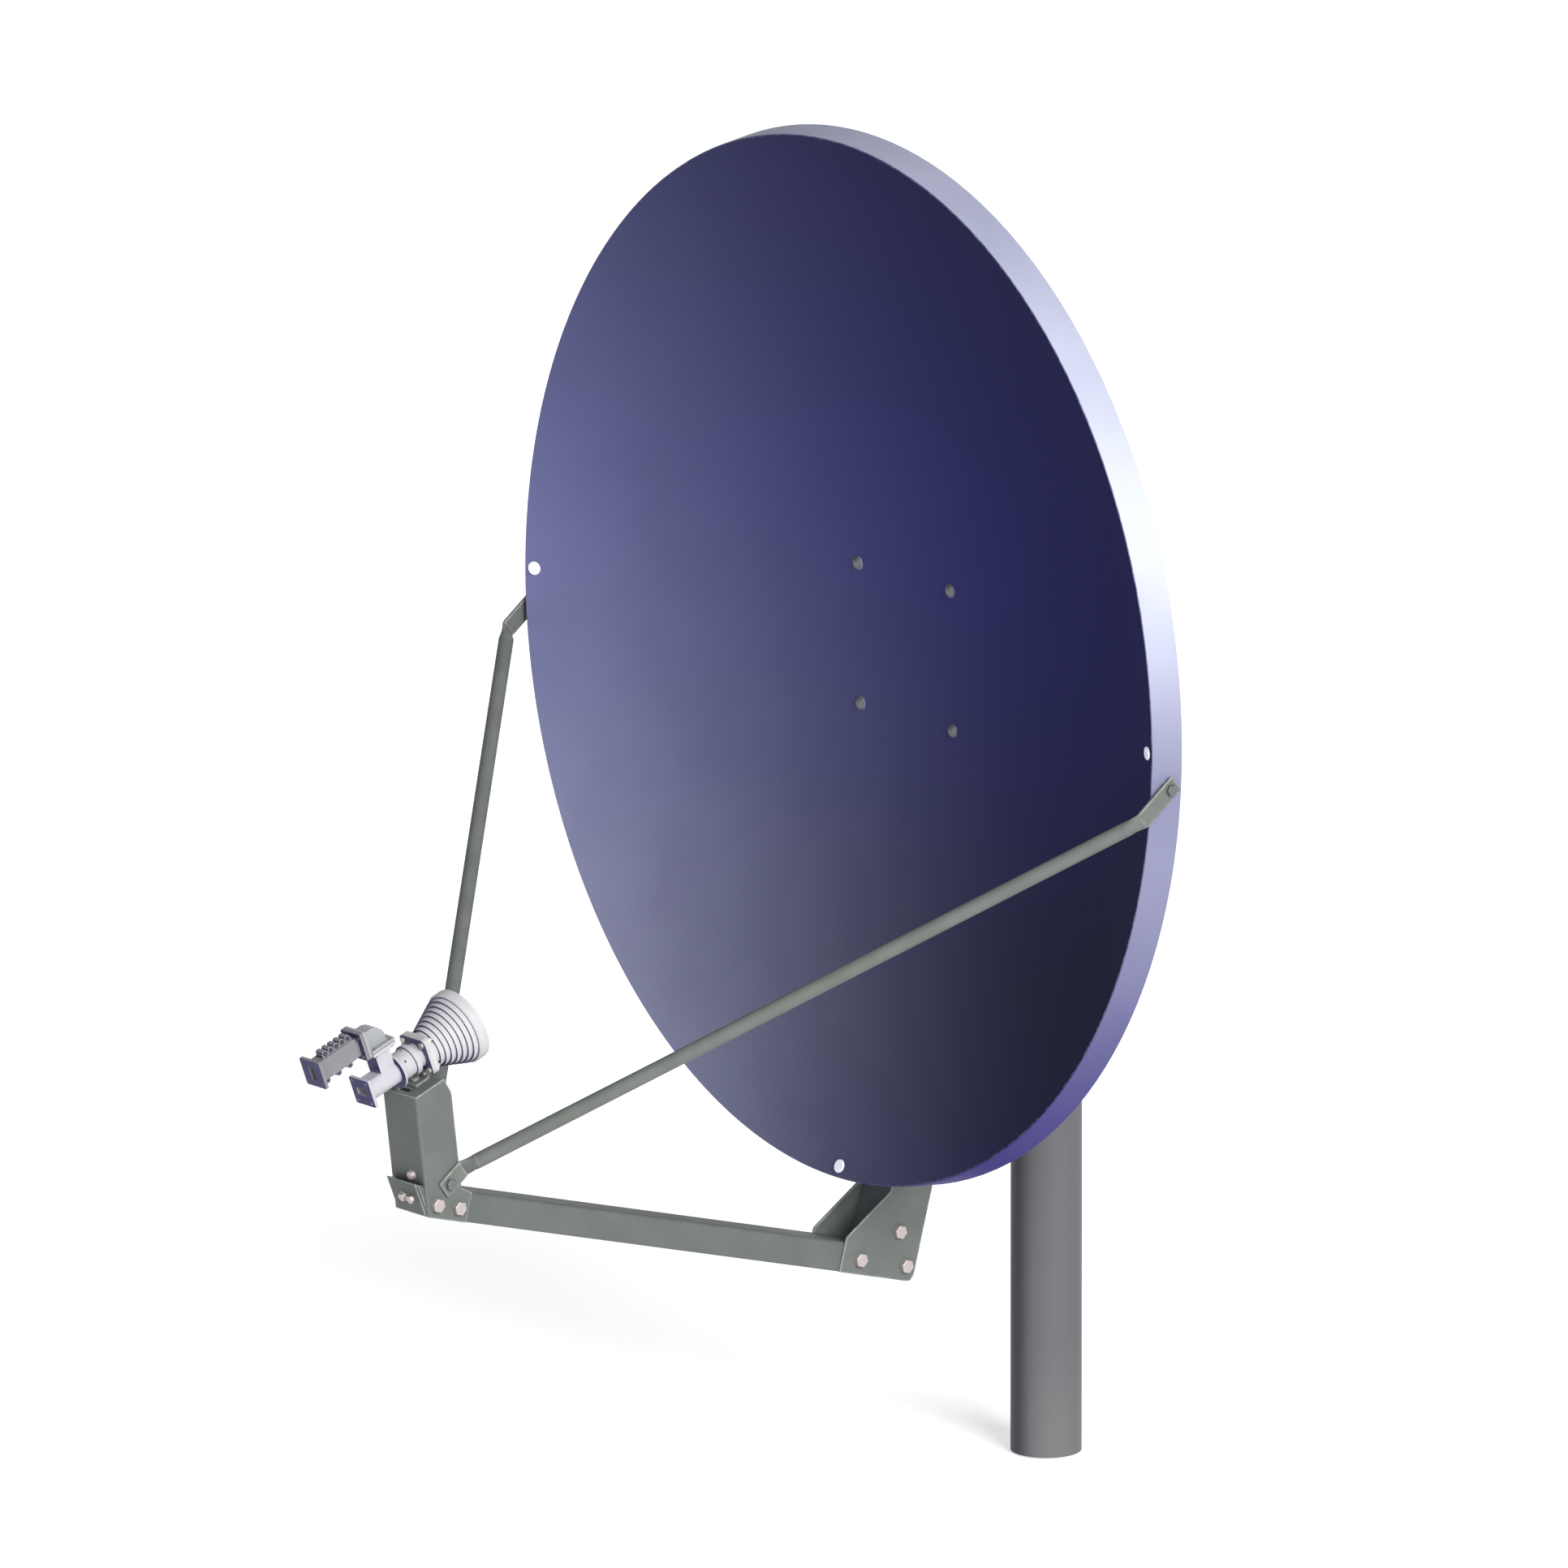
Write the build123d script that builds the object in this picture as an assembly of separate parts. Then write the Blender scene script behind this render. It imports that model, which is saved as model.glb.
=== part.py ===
"""Offset-fed 1.2 m satellite dish on a mast pipe, as separate pieces.

Frame: millimetres, origin at the centre of the mast foot, +Z up the mast. The dish faces -Y.
Side profiles are drawn in planes whose normal is +X, so their first axis runs to the rear of the
dish and their second axis runs up.
"""
import os
from math import acos, atan2, cos, degrees, hypot, pi, radians, sin, sqrt, tan

from build123d import *

os.makedirs("parts", exist_ok=True)

# ---------------------------------------------------------------- driving dimensions, millimetres
# mast pipe: 3 inch schedule 40
mast_od = 88.9
mast_wall = 5.5
mast_height = 991.0

# reflector: offset paraboloid cut by a vertical rim plane
rim_width = 1220.0
offset_angle = 22.8
focal_length = 740.0
rim_y = -338.7
rim_above_pivot = 0.0
shell = 3.0
band_depth = 44.5
band_flare = 5.0
band_round = 4.0
boss_radius = 17.0
boss_height = 6.4

# four centre bolts that hold the reflector to its bracket
centre_bolt_span = 180.0
centre_bolt_d = 8.0
centre_head_d = 17.0
centre_head_h = 4.2

# white plugs near the rim
plug_d = 15.0
plug_head_d = 17.0
plug_head_h = 2.0
plug_inset = 14.0

# azimuth head on the mast top
canister_wall = 7.0
canister_length = 150.0
canister_gap = 0.75
canister_top = 10.0
thrust_disc_t = 6.0
azimuth_bolt_d = 12.0
azimuth_tip_gap = 0.35

# elevation yoke and pivot
pivot_rise = 60.0
cheek = 4.0
body_gap = 0.3
pivot_bolt_d = 16.0
pivot_run = 0.06
lock_radius = 72.0
lock_bolt_d = 12.0
lock_slot_gap = 1.0
lock_rest_angle = -6.0
elevation_down = 10.8
elevation_up = 57.2

# feed boom, a rectangular tube; s runs to the rear along it from the first gusset bolt, q runs up
boom_drop = 15.4
boom_y = 10.6
boom_below_rim = 99.8
boom_width = 60.0
boom_height = 38.0
boom_wall = 2.5
boom_round = 4.0
boom_rear = 91.0
cap_flange = 2.0
cap_stem = 5.0
boom_reach = 709.5
boom_lip_run = 29.0
lip_gap = 0.5
lip_sheet = 3.0

# rear gussets and the channel between them
gusset_sheet = 3.0
gusset_front = -28.0
gusset_back = 93.0
gusset_top = 330.0
gusset_corner = 12.0
spine_front = 34.0
spine_depth = 44.0
spine_sheet = 3.0
spine_top_drop = 180.0
spine_boom_gap = 1.0
gusset_bolt_pitch = 76.0
frame_bolt_d = 10.0

# folded feed bracket; its own s is counted from the foot of the boom's lip
bracket_sheet = 3.0
bracket_shoulder = (-5.5, 138.0)
bracket_heel = (42.5, 23.0)
bracket_tail = 61.5
bracket_top_start = 50.5
bracket_top_end = 98.5
bracket_top_w = -31.0
bracket_bolt_front = 8.7
bracket_bolt_back = 44.3
bracket_bolt_q = -2.0
bracket_bolt_d = 10.0
face_bolt_d = 6.0
face_washer_d = 13.0
web_bolt_x = 10.0
web_bolt_share = 0.33
top_slot_b = 60.0

# side struts
strut_od = 19.0
strut_wall = 1.6
strut_tab_w = 23.0
strut_tab_t = 4.0
strut_rim_y = 22.7
strut_rim_z = -45.0
strut_foot_s = 19.8
strut_foot_q = 26.0
strut_rim_tab = 54.0
strut_foot_tab = 27.0
strut_tab_tail = 12.0
strut_morph = 20.0
strut_bolt_d = 8.0
strut_pad_r = 10.0

# feed: b runs along the feed axis towards the dish from the transmit port, w runs up
feed_tilt = 21.0
feed_s = -119.7
feed_q = 120.6
flange_side = 38.1
flange_t = 4.0
guide_broad = 19.05
guide_narrow = 9.525
port_hole_broad = 28.5
port_hole_narrow = 26.2
port_hole_d = 3.8
omt_radius = 16.0
omt_flat = 13.0
omt_rear = 52.0
branch_b = 39.0
branch_top = 46.0
branch_half_x = 11.2
branch_half_b = 11.5
disc_radius = 24.0
disc_t = 3.0
bend_axis_w = 62.5
bend_face_b = 14.0
bend_half_x = 10.5
bend_wall = 2.6
filter_length = 74.0
filter_half_x = 10.0
filter_half_w = 13.0
tuning_count = 5
gasket_t = 0.8
polariser_radius = 18.5
polariser_start = 55.4
spigot_radius = 12.5
set_screw_r = 1.4
step_ring_start = 76.0
horn_flange_b = 92.5
horn_flange_t = 10.0
horn_flange_side = 50.0
horn_flange_corner = 8.0
horn_bolt_pitch = 36.0
horn_bolt_d = 5.0
horn_bore = 9.2
horn_throat = 22.0
horn_mouth = 48.5
horn_length = 67.5
horn_steps = 8
horn_band = 14.0
horn_lip = 3.0
window_t = 1.2
clamp_w = 28.0
clamp_t = 3.0

# fasteners
washer_gap = 0.1
hole_gap = 0.5

# ---------------------------------------------------------------- frames and derived sizes
rim_radius = rim_width / 2
stretch = 1 / cos(radians(offset_angle))
bowl_depth = rim_radius ** 2 / (4 * focal_length) * cos(radians(offset_angle))
boss_face_y = bowl_depth + shell + boss_height
vertex_offset = 2 * focal_length * tan(radians(offset_angle))
rim_height = rim_width * stretch
mast_r = mast_od / 2
canister_r = mast_r + canister_gap + canister_wall
canister_top_z = mast_height + thrust_disc_t + body_gap + canister_top
pivot_z = canister_top_z + pivot_rise
rim_z = pivot_z + rim_above_pivot
boom_half = boom_width / 2
tilt_inner = boom_half
yoke_outer = tilt_inner - body_gap
yoke_half = yoke_outer - cheek
half_h = boom_height / 2


def profile_frame(y, z, angle=0.0):
    """A plane with normal +X; its first axis points to the rear, raised by angle degrees."""
    turn = radians(angle)
    return Plane(origin=(0, y, z), x_dir=(0, cos(turn), sin(turn)), z_dir=(1, 0, 0))


rim = profile_frame(rim_y, rim_z)
boom = profile_frame(rim_y + boom_y, rim_z - rim_height / 2 - boom_below_rim, -boom_drop)
pivot = profile_frame(0, pivot_z)
foot = Plane(origin=boom.from_local_coords((-boom_reach, 0, 0)), x_dir=boom.x_dir, z_dir=boom.z_dir)
feed_origin = foot.from_local_coords((feed_s, feed_q, 0))
feed = profile_frame(feed_origin.Y, feed_origin.Z, feed_tilt)


def across(frame, b):
    """A plane square to the frame's first axis at distance b; its axes are -X and the frame's up."""
    return Plane(origin=frame.from_local_coords((b, 0, 0)), x_dir=(-1, 0, 0), z_dir=frame.x_dir)


def slab(frame, points, x_low, x_high):
    """A flat outline in a profile frame, given thickness between two X values."""
    return extrude(frame.offset(x_low) * Polygon(*points, align=None), x_high - x_low, dir=(1, 0, 0))


def bar(frame, u, v, radius, x_low, x_high):
    """A round bar along X through the point (u, v) of a profile frame."""
    return extrude(frame.offset(x_low) * Pos(u, v) * Circle(radius), x_high - x_low)


def hexagon(d):
    """A hexagon with the across-flats width of a nut for a bolt of diameter d."""
    return RegularPolygon(radius=0.8 * d, side_count=6, major_radius=False)


def cross_bolt(frame, u, v, d, x_head, x_nut):
    """Hex bolt along X whose head stands out at x_head; the shank ends past x_nut."""
    way = 1 if x_head > x_nut else -1
    head = extrude(frame.offset(x_head) * Pos(u, v) * hexagon(d), way * 0.65 * d)
    head = chamfer(head.faces().sort_by(Axis.X)[-1 if way > 0 else 0].edges(), 0.06 * d)
    shank = extrude(frame.offset(x_head) * Pos(u, v) * Circle(d / 2), way * (x_nut - x_head) * way)
    tail = extrude(frame.offset(x_nut) * Pos(u, v) * Circle(d / 2), -way * 1.2 * d)
    return head + shank + tail


def cross_nut(frame, u, v, d, x_face, way):
    """Hex nut along X, with its seat at x_face and standing out in the direction way."""
    body = extrude(frame.offset(x_face) * Pos(u, v) * hexagon(d), way * 0.8 * d)
    return body - bar(frame, u, v, d / 2 + washer_gap, min(x_face, x_face + way * d),
            max(x_face, x_face + way * d))


def save(node, *pieces):
    """Write one node: a single solid, or a group of separate solids."""
    solids = [s for piece in pieces for s in piece.solids()]
    shape = solids[0] if len(solids) == 1 else Compound(children=solids)
    export_step(shape, os.path.join("parts", node + ".step"))


def convert(source, target, point):
    """A profile point given in one frame, read in another."""
    local = target.to_local_coords(source.from_local_coords((point[0], point[1], 0)))
    return local.X, local.Y


# ---------------------------------------------------------------- reflector
def bowl(shift):
    """The hollow of the paraboloid in front of the reflecting surface, moved back by shift."""
    turn = radians(offset_angle)
    up, out = Vector(0, sin(turn), cos(turn)), Vector(0, -cos(turn), sin(turn))
    middle_depth = (vertex_offset**2 + rim_radius**2) / (4 * focal_length)
    vertex = Vector(0, rim_y, rim_z) - up * vertex_offset - out * (middle_depth + shift)
    side = Plane(origin=vertex, x_dir=-up, z_dir=(-1, 0, 0))
    reach = vertex_offset + 1.1 * rim_radius
    depth = reach**2 / (4 * focal_length)
    curve = Bezier((0, 0), (reach / 2, 0), (reach, depth))
    outline = make_face(side * (curve + Line((reach, depth), (0, depth)) + Line((0, depth), (0, 0))))
    return revolve(outline, Axis(vertex, out), 360)


def surface(x, z):
    """Depth of the reflecting surface behind the rim plane, at x and at z above the rim's middle."""
    s, c, f4 = sin(radians(offset_angle)), cos(radians(offset_angle)), 4 * focal_length
    middle_depth = (vertex_offset**2 + rim_radius**2) / f4
    k = s * (x * x / f4 - middle_depth) - vertex_offset * c - z
    r = (sqrt(c * c - 4 * s / f4 * k) - c) / (2 * s / f4)
    return (r - vertex_offset) * s - ((r * r + x * x) / f4 - middle_depth) * c


def surface_plane(x, z):
    """A plane touching the reflecting surface, with its normal to the front."""
    step = 0.5
    slope_x = (surface(x + step, z) - surface(x - step, z)) / (2 * step)
    slope_z = (surface(x, z + step) - surface(x, z - step)) / (2 * step)
    return Plane(origin=(x, rim_y + surface(x, z), rim_z + z), z_dir=(slope_x, -1, slope_z))


def oval(points, corner=0.0):
    """A solid turned about the rim's axis from (radius, depth) points, then stretched upwards."""
    outline = Polygon(*points, align=None)
    if corner:
        edge = outline.vertices().sort_by(Axis.Y)[0:2].sort_by(Axis.X)[-1]
        outline = fillet(edge, corner)
    turned = revolve(outline, Axis.Y, 360)
    return Pos(0, rim_y, rim_z) * scale(turned, by=(1, 1, stretch))


def centre_spots():
    half = centre_bolt_span / 2
    return [(x, z) for x in (-half, half) for z in (-half, half)]


def plug_spots():
    side = rim_radius - plug_inset
    return [(-side, 0.0), (side, 0.0), (0.0, -(rim_height / 2 - plug_inset))]


def centre_seat(x, z):
    """Depth of the flat pad under a centre bolt's head: just proud of the surface around it."""
    reach = centre_head_d / 2 + 0.6
    ring = [surface(x + reach * cos(a * pi / 8), z + reach * sin(a * pi / 8)) for a in range(16)]
    return min(ring) - 0.2


def depth_bar(x, z, radius, near, far):
    """A round bar along Y between two depths behind the rim plane."""
    start = Plane(origin=(x, rim_y + near, rim_z + z), z_dir=(0, 1, 0))
    return extrude(start * Circle(radius), far - near)


def strut_rim_x():
    """X of the flat seat for a strut on the rim band, just outside the band's flared edge."""
    return rim_radius + band_flare + 0.2


def reflector():
    """Dish skin with four bosses behind and a drafted band turned back around its rim."""
    hollow = bowl(0)
    inner = rim_radius - shell
    reach = band_depth + 120
    core = oval([(0, -20), (inner + shell / 2, -20), (inner + shell / 2, reach), (0, reach)])
    body = bowl(shell * stretch) & core
    pads = hollow
    for x, z in centre_spots():
        body += depth_bar(x, z, boss_radius, surface(x, z) - 10, boss_face_y)
        pads -= depth_bar(x, z, centre_head_d / 2 + 0.6, centre_seat(x, z), surface(x, z) + 10)
    for x, z in centre_spots():
        body -= depth_bar(x, z, centre_bolt_d / 2 + hole_gap, surface(x, z) - 20, boss_face_y + 5)
    for x, z in plug_spots():
        body -= extrude(surface_plane(x, z) * Circle(plug_d / 2), 12, both=True)
    return (body - pads) + rim_band(hollow)


def rim_band(hollow):
    """The drafted band behind the rim, rounded at its front edge, with the two strut bolt holes."""
    inner = rim_radius - shell
    flared = rim_radius + band_flare
    band = oval([(0, 0), (rim_radius, 0), (flared, band_depth), (0, band_depth)], band_round)
    slope = band_flare / band_depth
    room = oval([(0, -9), (inner - 9 * slope, -9), (inner + (band_depth + 9) * slope, band_depth + 9),
                 (0, band_depth + 9)])
    band = (band - room) - hollow
    x = strut_rim_x()
    for low, high in ((-x, shell - x), (x - shell, x)):
        reach = 2 * shell
        pad = bar(rim, strut_rim_y, strut_rim_z, strut_pad_r, low - reach * (low > 0),
                high + reach * (low < 0))
        band += pad
    return band - bar(rim, strut_rim_y, strut_rim_z, strut_bolt_d / 2 + hole_gap, -x - 9, x + 9)


def rim_plug(x, z):
    """White button plug: a low domed head on a short stem."""
    place = surface_plane(x, z).offset(0.15)
    head = extrude(place * Circle(plug_head_d / 2), plug_head_h)
    head = fillet(head.faces().sort_by(Axis(place.origin, place.z_dir))[-1].edges(), 0.6 * plug_head_h)
    stem = extrude(place * Circle(plug_d / 2 - washer_gap), -(shell + 3))
    return head + stem


def centre_bolt(x, z):
    """Round-headed carriage bolt through the reflector, its boss and the bracket plate."""
    seat = centre_seat(x, z)
    end = boss_face_y + cheek + 14
    face = Plane(origin=(x, rim_y + seat, rim_z + z), z_dir=(0, -1, 0))
    dome_r = (centre_head_d**2 / 4 + centre_head_h**2) / (2 * centre_head_h)
    ball = Pos(x, rim_y + seat - centre_head_h + dome_r, rim_z + z) * Sphere(dome_r)
    head = extrude(face * Circle(centre_head_d / 2), centre_head_h) & ball
    return head + depth_bar(x, z, centre_bolt_d / 2, seat - 1, end)


def centre_nut(x, z):
    """Washer and hex nut behind the bracket plate, as two solids."""
    back = boss_face_y + cheek
    bolt_hole = centre_bolt_d / 2 + washer_gap
    ring = depth_bar(x, z, centre_bolt_d, back, back + 1.6) - depth_bar(x, z, bolt_hole, back - 1,
            back + 3)
    seat = Plane(origin=(x, rim_y + back + 1.6, rim_z + z), z_dir=(0, 1, 0))
    nut = extrude(seat * hexagon(centre_bolt_d), 0.8 * centre_bolt_d)
    return [ring, nut - depth_bar(x, z, bolt_hole, back, back + 20)]


# ---------------------------------------------------------------- mast and azimuth head
def tube(z_low, z_high, outer, inner):
    ring = Plane.XY.offset(z_low) * (Circle(outer) - Circle(inner))
    return extrude(ring, z_high - z_low)


def disc(z_low, z_high, radius):
    return extrude(Plane.XY.offset(z_low) * Circle(radius), z_high - z_low)


def mast_pipe():
    return tube(0, mast_height, mast_r, mast_r - mast_wall)


def mast_thrust_disc():
    """Plastic disc on the mast's mouth, which the canister's closed top turns on."""
    return disc(mast_height, mast_height + thrust_disc_t, mast_r)


def azimuth_canister():
    """Steel sleeve with a closed top, and three welded nuts for the lock bolts."""
    low = canister_top_z - canister_length
    body = disc(low, canister_top_z, canister_r)
    body -= disc(low - 1, canister_top_z - canister_top, canister_r - canister_wall)
    for turn in azimuth_turns():
        face = azimuth_plane(turn, canister_r - 1)
        body += extrude(face * hexagon(azimuth_bolt_d), 1 + 0.8 * azimuth_bolt_d)
        hole = azimuth_plane(turn, 0)
        body -= extrude(hole * Circle(azimuth_bolt_d / 2 + washer_gap), canister_r + 2 * azimuth_bolt_d)
    return body - disc(low - 1, canister_top_z - canister_top, canister_r - canister_wall)


def azimuth_turns():
    return (30, 150, 270)


def azimuth_plane(turn, reach):
    """Plane facing outwards from the mast, at the height of the azimuth lock bolts."""
    out = Vector(cos(radians(turn)), sin(radians(turn)), 0)
    height = canister_top_z - canister_length + 30
    return Plane(origin=out * reach + Vector(0, 0, height), z_dir=out)


def azimuth_bolt(turn):
    """Lock bolt: its tip stands just clear of the mast, its hex head is outside the welded nut."""
    start = mast_r + azimuth_tip_gap
    head_at = canister_r + 1.9 * azimuth_bolt_d
    shank = extrude(azimuth_plane(turn, start) * Circle(azimuth_bolt_d / 2), head_at - start)
    return shank + extrude(azimuth_plane(turn, head_at) * hexagon(azimuth_bolt_d), 0.65 * azimuth_bolt_d)


def lock_point(tilt=0.0):
    """Place of the elevation lock bolt in the pivot frame, ahead of the pivot."""
    a = radians(lock_rest_angle + tilt)
    return -lock_radius * cos(a), lock_radius * sin(a)


def azimuth_yoke():
    """Base plate and two cheeks; each cheek holds the pivot bolt and has the arc slot."""
    floor = -pivot_rise
    front = -(lock_radius + 1.6 * lock_bolt_d)
    crown = lock_radius * sin(radians(lock_rest_angle + elevation_up)) + 1.6 * lock_bolt_d
    back = 2.2 * pivot_bolt_d
    outline = [(-canister_r, floor), (front, floor + 16), (front, 12), (-0.62 * lock_radius, crown),
               (-0.3 * lock_radius, crown), (back, 16), (back, floor)]
    cheeks = slab(pivot, outline, -yoke_outer, yoke_outer) - slab(
        pivot, [(front - 9, floor + cheek), (front - 9, crown + 9), (back + 9, crown + 9),
                (back + 9, floor + cheek)],
        -yoke_half, yoke_half)
    base = extrude(Plane.XY.offset(canister_top_z) * Circle(canister_r), 2 * cheek)
    inside = Plane.XY.offset(canister_top_z) * Rectangle(2 * yoke_outer, 2 * canister_r)
    body = cheeks + (base & extrude(inside, 2 * cheek))
    body -= bar(pivot, 0, 0, pivot_bolt_d / 2 + washer_gap, -yoke_outer - 1, yoke_outer + 1)
    return body - slot_cut()


def slot_cut():
    """Arc slot about the pivot, wide enough for the lock bolt over the whole elevation range."""
    half = lock_bolt_d / 2 + lock_slot_gap
    ring = Circle(lock_radius + half) - Circle(lock_radius - half)
    reach = 2 * lock_radius
    low, high = (lock_rest_angle - elevation_down, lock_rest_angle + elevation_up)
    mid = (low + high) / 2
    corners = [(0, 0)] + [(-reach * cos(radians(a)), reach * sin(radians(a))) for a in (low, mid, high)]
    arc = ring & Polygon(*corners, align=None)
    for a in (low, high):
        arc += Pos(-lock_radius * cos(radians(a)), lock_radius * sin(radians(a))) * Circle(half)
    return extrude(pivot.offset(-yoke_outer - 1) * arc, 2 * yoke_outer + 2, dir=(1, 0, 0))


# ---------------------------------------------------------------- tilting frame behind the dish
def spine_top():
    """Distance q up the channel at which it ends, set by a drop below the rim's middle."""
    level = rim_z - spine_top_drop
    foot_of_line = boom.from_local_coords((spine_front, 0, 0)).Z
    return (level - foot_of_line) / cos(radians(boom_drop))


def arm_bolt_spots():
    """Two bolts that hold the channel between the arms of the reflector bracket."""
    s = spine_front + 0.62 * spine_depth
    return [convert(boom, pivot, (s, spine_top() - drop)) for drop in (40, 175)]


def reflector_bracket():
    """Plate behind the reflector welded to two cheeks that carry the pivot and the channel."""
    face = rim_y + boss_face_y
    reach = centre_bolt_span / 2 + 22
    mid = rim_above_pivot
    back = spine_front + spine_depth
    top = spine_top()
    arm = [convert(boom, pivot, p) for p in ((spine_front, top - 210), (back, top - 215), (back, top))]
    hub = 2.1 * pivot_bolt_d
    outline = [(face, mid + reach), (face, mid - reach), *arm,
            (-3.9 * pivot_bolt_d, -3.25 * pivot_bolt_d),
               (-1.1 * pivot_bolt_d, -hub), (hub, -0.7 * hub), (hub, 0.7 * hub), (0.4 * hub, hub),
               (-4 * pivot_bolt_d, 4.5 * pivot_bolt_d)]
    body = slab(pivot, outline, tilt_inner, tilt_inner + cheek) + slab(pivot, outline,
            -tilt_inner - cheek, -tilt_inner)
    body += extrude(Plane(origin=(0, face, rim_z), z_dir=(0, 1, 0)) * RectangleRounded(2 * reach,
            2 * reach, 14), cheek)
    for x, z in centre_spots():
        body -= depth_bar(x, z, centre_bolt_d / 2 + hole_gap, boss_face_y - 5, boss_face_y + cheek + 5)
    wide = tilt_inner + cheek + 5
    body -= bar(pivot, 0, 0, pivot_bolt_d / 2 + pivot_run, -wide, wide)
    body -= bar(pivot, *lock_point(), lock_bolt_d / 2 + hole_gap, -wide, wide)
    for u, v in arm_bolt_spots():
        body -= bar(pivot, u, v, frame_bolt_d / 2 + hole_gap, -wide, wide)
    return body


def pivot_bolt():
    """Elevation pivot bolt through both pairs of cheeks, clear of the outer ones at its head."""
    outer = tilt_inner + cheek + body_gap
    return cross_bolt(pivot, 0, 0, pivot_bolt_d, outer, -outer)


def back_spine():
    """Channel behind the dish: its web faces the front, its flanges run to the rear."""
    low, top = half_h + spine_boom_gap, spine_top()
    front, back = spine_front, spine_front + spine_depth
    body = slab(boom, [(front, low), (back, low), (back, top), (front, top)], -boom_half, boom_half)
    inner = boom_half - spine_sheet
    web = front + spine_sheet
    body -= slab(boom, [(web, low - 9), (back + 9, low - 9), (back + 9, top + 9), (web, top + 9)],
            -inner, inner)
    for s, q in spine_bolt_spots():
        body -= bar(boom, s, q, frame_bolt_d / 2 + hole_gap, -boom_half - 1, boom_half + 1)
    for u, v in arm_bolt_spots():
        body -= bar(pivot, u, v, frame_bolt_d / 2 + hole_gap, -boom_half - 1, boom_half + 1)
    return body


def spine_bolt_spots():
    """Bolts through gussets and channel: one above the boom, two more up behind the dish."""
    s = spine_front + 0.45 * spine_depth
    return [(s, 41.3), (s, 0.5 * gusset_top), (s, gusset_top - 25)]


def boom_bolt_spots():
    return [(0, 0), (gusset_bolt_pitch, 0)]


def gusset(side):
    """Side plate joining the boom to the channel; its front edge slants up behind the dish."""
    low = -half_h
    waist = spine_front - 6
    outline = [(gusset_front, low), (gusset_back, low), (gusset_back, gusset_top), (waist, gusset_top),
               (waist, 25 + 1.145 * (waist - gusset_front)), (gusset_front, 25)]
    sheet = Polygon(*outline, align=None)
    corner = sheet.vertices().sort_by(Axis.Y)[0:2].sort_by(Axis.X)[-1]
    sheet = fillet(corner, gusset_corner)
    x = boom_half if side > 0 else -boom_half - gusset_sheet
    body = extrude(boom.offset(x) * sheet, gusset_sheet, dir=(1, 0, 0))
    for s, q in boom_bolt_spots() + spine_bolt_spots():
        body -= bar(boom, s, q, frame_bolt_d / 2 + hole_gap, x - 1, x + gusset_sheet + 1)
    return body


def through_bolts(frame, spots, d, half):
    """Bolts across the frame: hex heads on the right, nuts on the left, each a separate solid."""
    pieces = []
    for u, v in spots:
        pieces += [cross_bolt(frame, u, v, d, half, -half), cross_nut(frame, u, v, d, -half, -1)]
    return pieces


# ---------------------------------------------------------------- boom
def feed_boom():
    """Rectangular tube; the front is cut on a slant and closed by a lip bent up from the floor."""
    slant = lip_line()
    back = boom_rear
    outer = [(slant(-half_h)[0] + lip_sheet, -half_h), (back, -half_h), (back, half_h),
            (slant(half_h)[0] + lip_sheet, half_h)]
    section = Plane(origin=boom.from_local_coords((back, 0, 0)), x_dir=(1, 0, 0), z_dir=-boom.x_dir)
    run = back + boom_reach + boom_lip_run + 20
    body = extrude(section * RectangleRounded(boom_width, boom_height, boom_round), run)
    inside = RectangleRounded(boom_width - 2 * boom_wall, boom_height - 2 * boom_wall,
            boom_round - boom_wall)
    body -= extrude(section * inside, run)
    body = body & slab(boom, outer, -boom_half, boom_half)
    open_front = -boom_reach - 14
    body -= slab(boom, [(open_front, half_h - boom_wall - 1), (open_front - 90, half_h - boom_wall - 1),
                        (open_front - 90, half_h + 9), (open_front,
                                half_h + 9)], -boom_half + boom_round, boom_half - boom_round)
    wide = boom_half - boom_wall - lip_gap
    lip = slab(boom, [slant(-half_h), (slant(-half_h)[0] + 1.5 * lip_sheet, -half_h),
                      (slant(half_h)[0] + 1.3 * lip_sheet, half_h), slant(half_h)], -wide, wide)
    body += lip
    for s, q in boom_bolt_spots():
        body -= bar(boom, s, q, frame_bolt_d / 2 + hole_gap, -boom_half - 1, boom_half + 1)
    for s, q in bracket_bolt_spots():
        body -= bar(foot, s, q, bracket_bolt_d / 2 + hole_gap, -boom_half - 1, boom_half + 1)
    for x in lip_bolt_spots():
        body -= extrude(lip_plane(x).offset(-9) * Circle(face_bolt_d / 2 + hole_gap), 18)
    return body


def lip_line():
    """The outer line of the lip, as a function of height q in the boom's frame."""
    return lambda q: (-boom_reach - boom_lip_run * (q + half_h) / boom_height, q)


def lip_plane(x):
    """Plane on the lip's outer face, half way up, facing forward."""
    place = boom.from_local_coords((lip_line()(0)[0], 0, 0)) + Vector(x, 0, 0)
    along = boom.from_local_coords((lip_line()(half_h)[0], half_h, 0)) - place + Vector(x, 0, 0)
    return Plane(origin=place, x_dir=(1, 0, 0), z_dir=Vector(1, 0, 0).cross(along))


def lip_bolt_spots():
    return (-4.0, 12.0)


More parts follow.
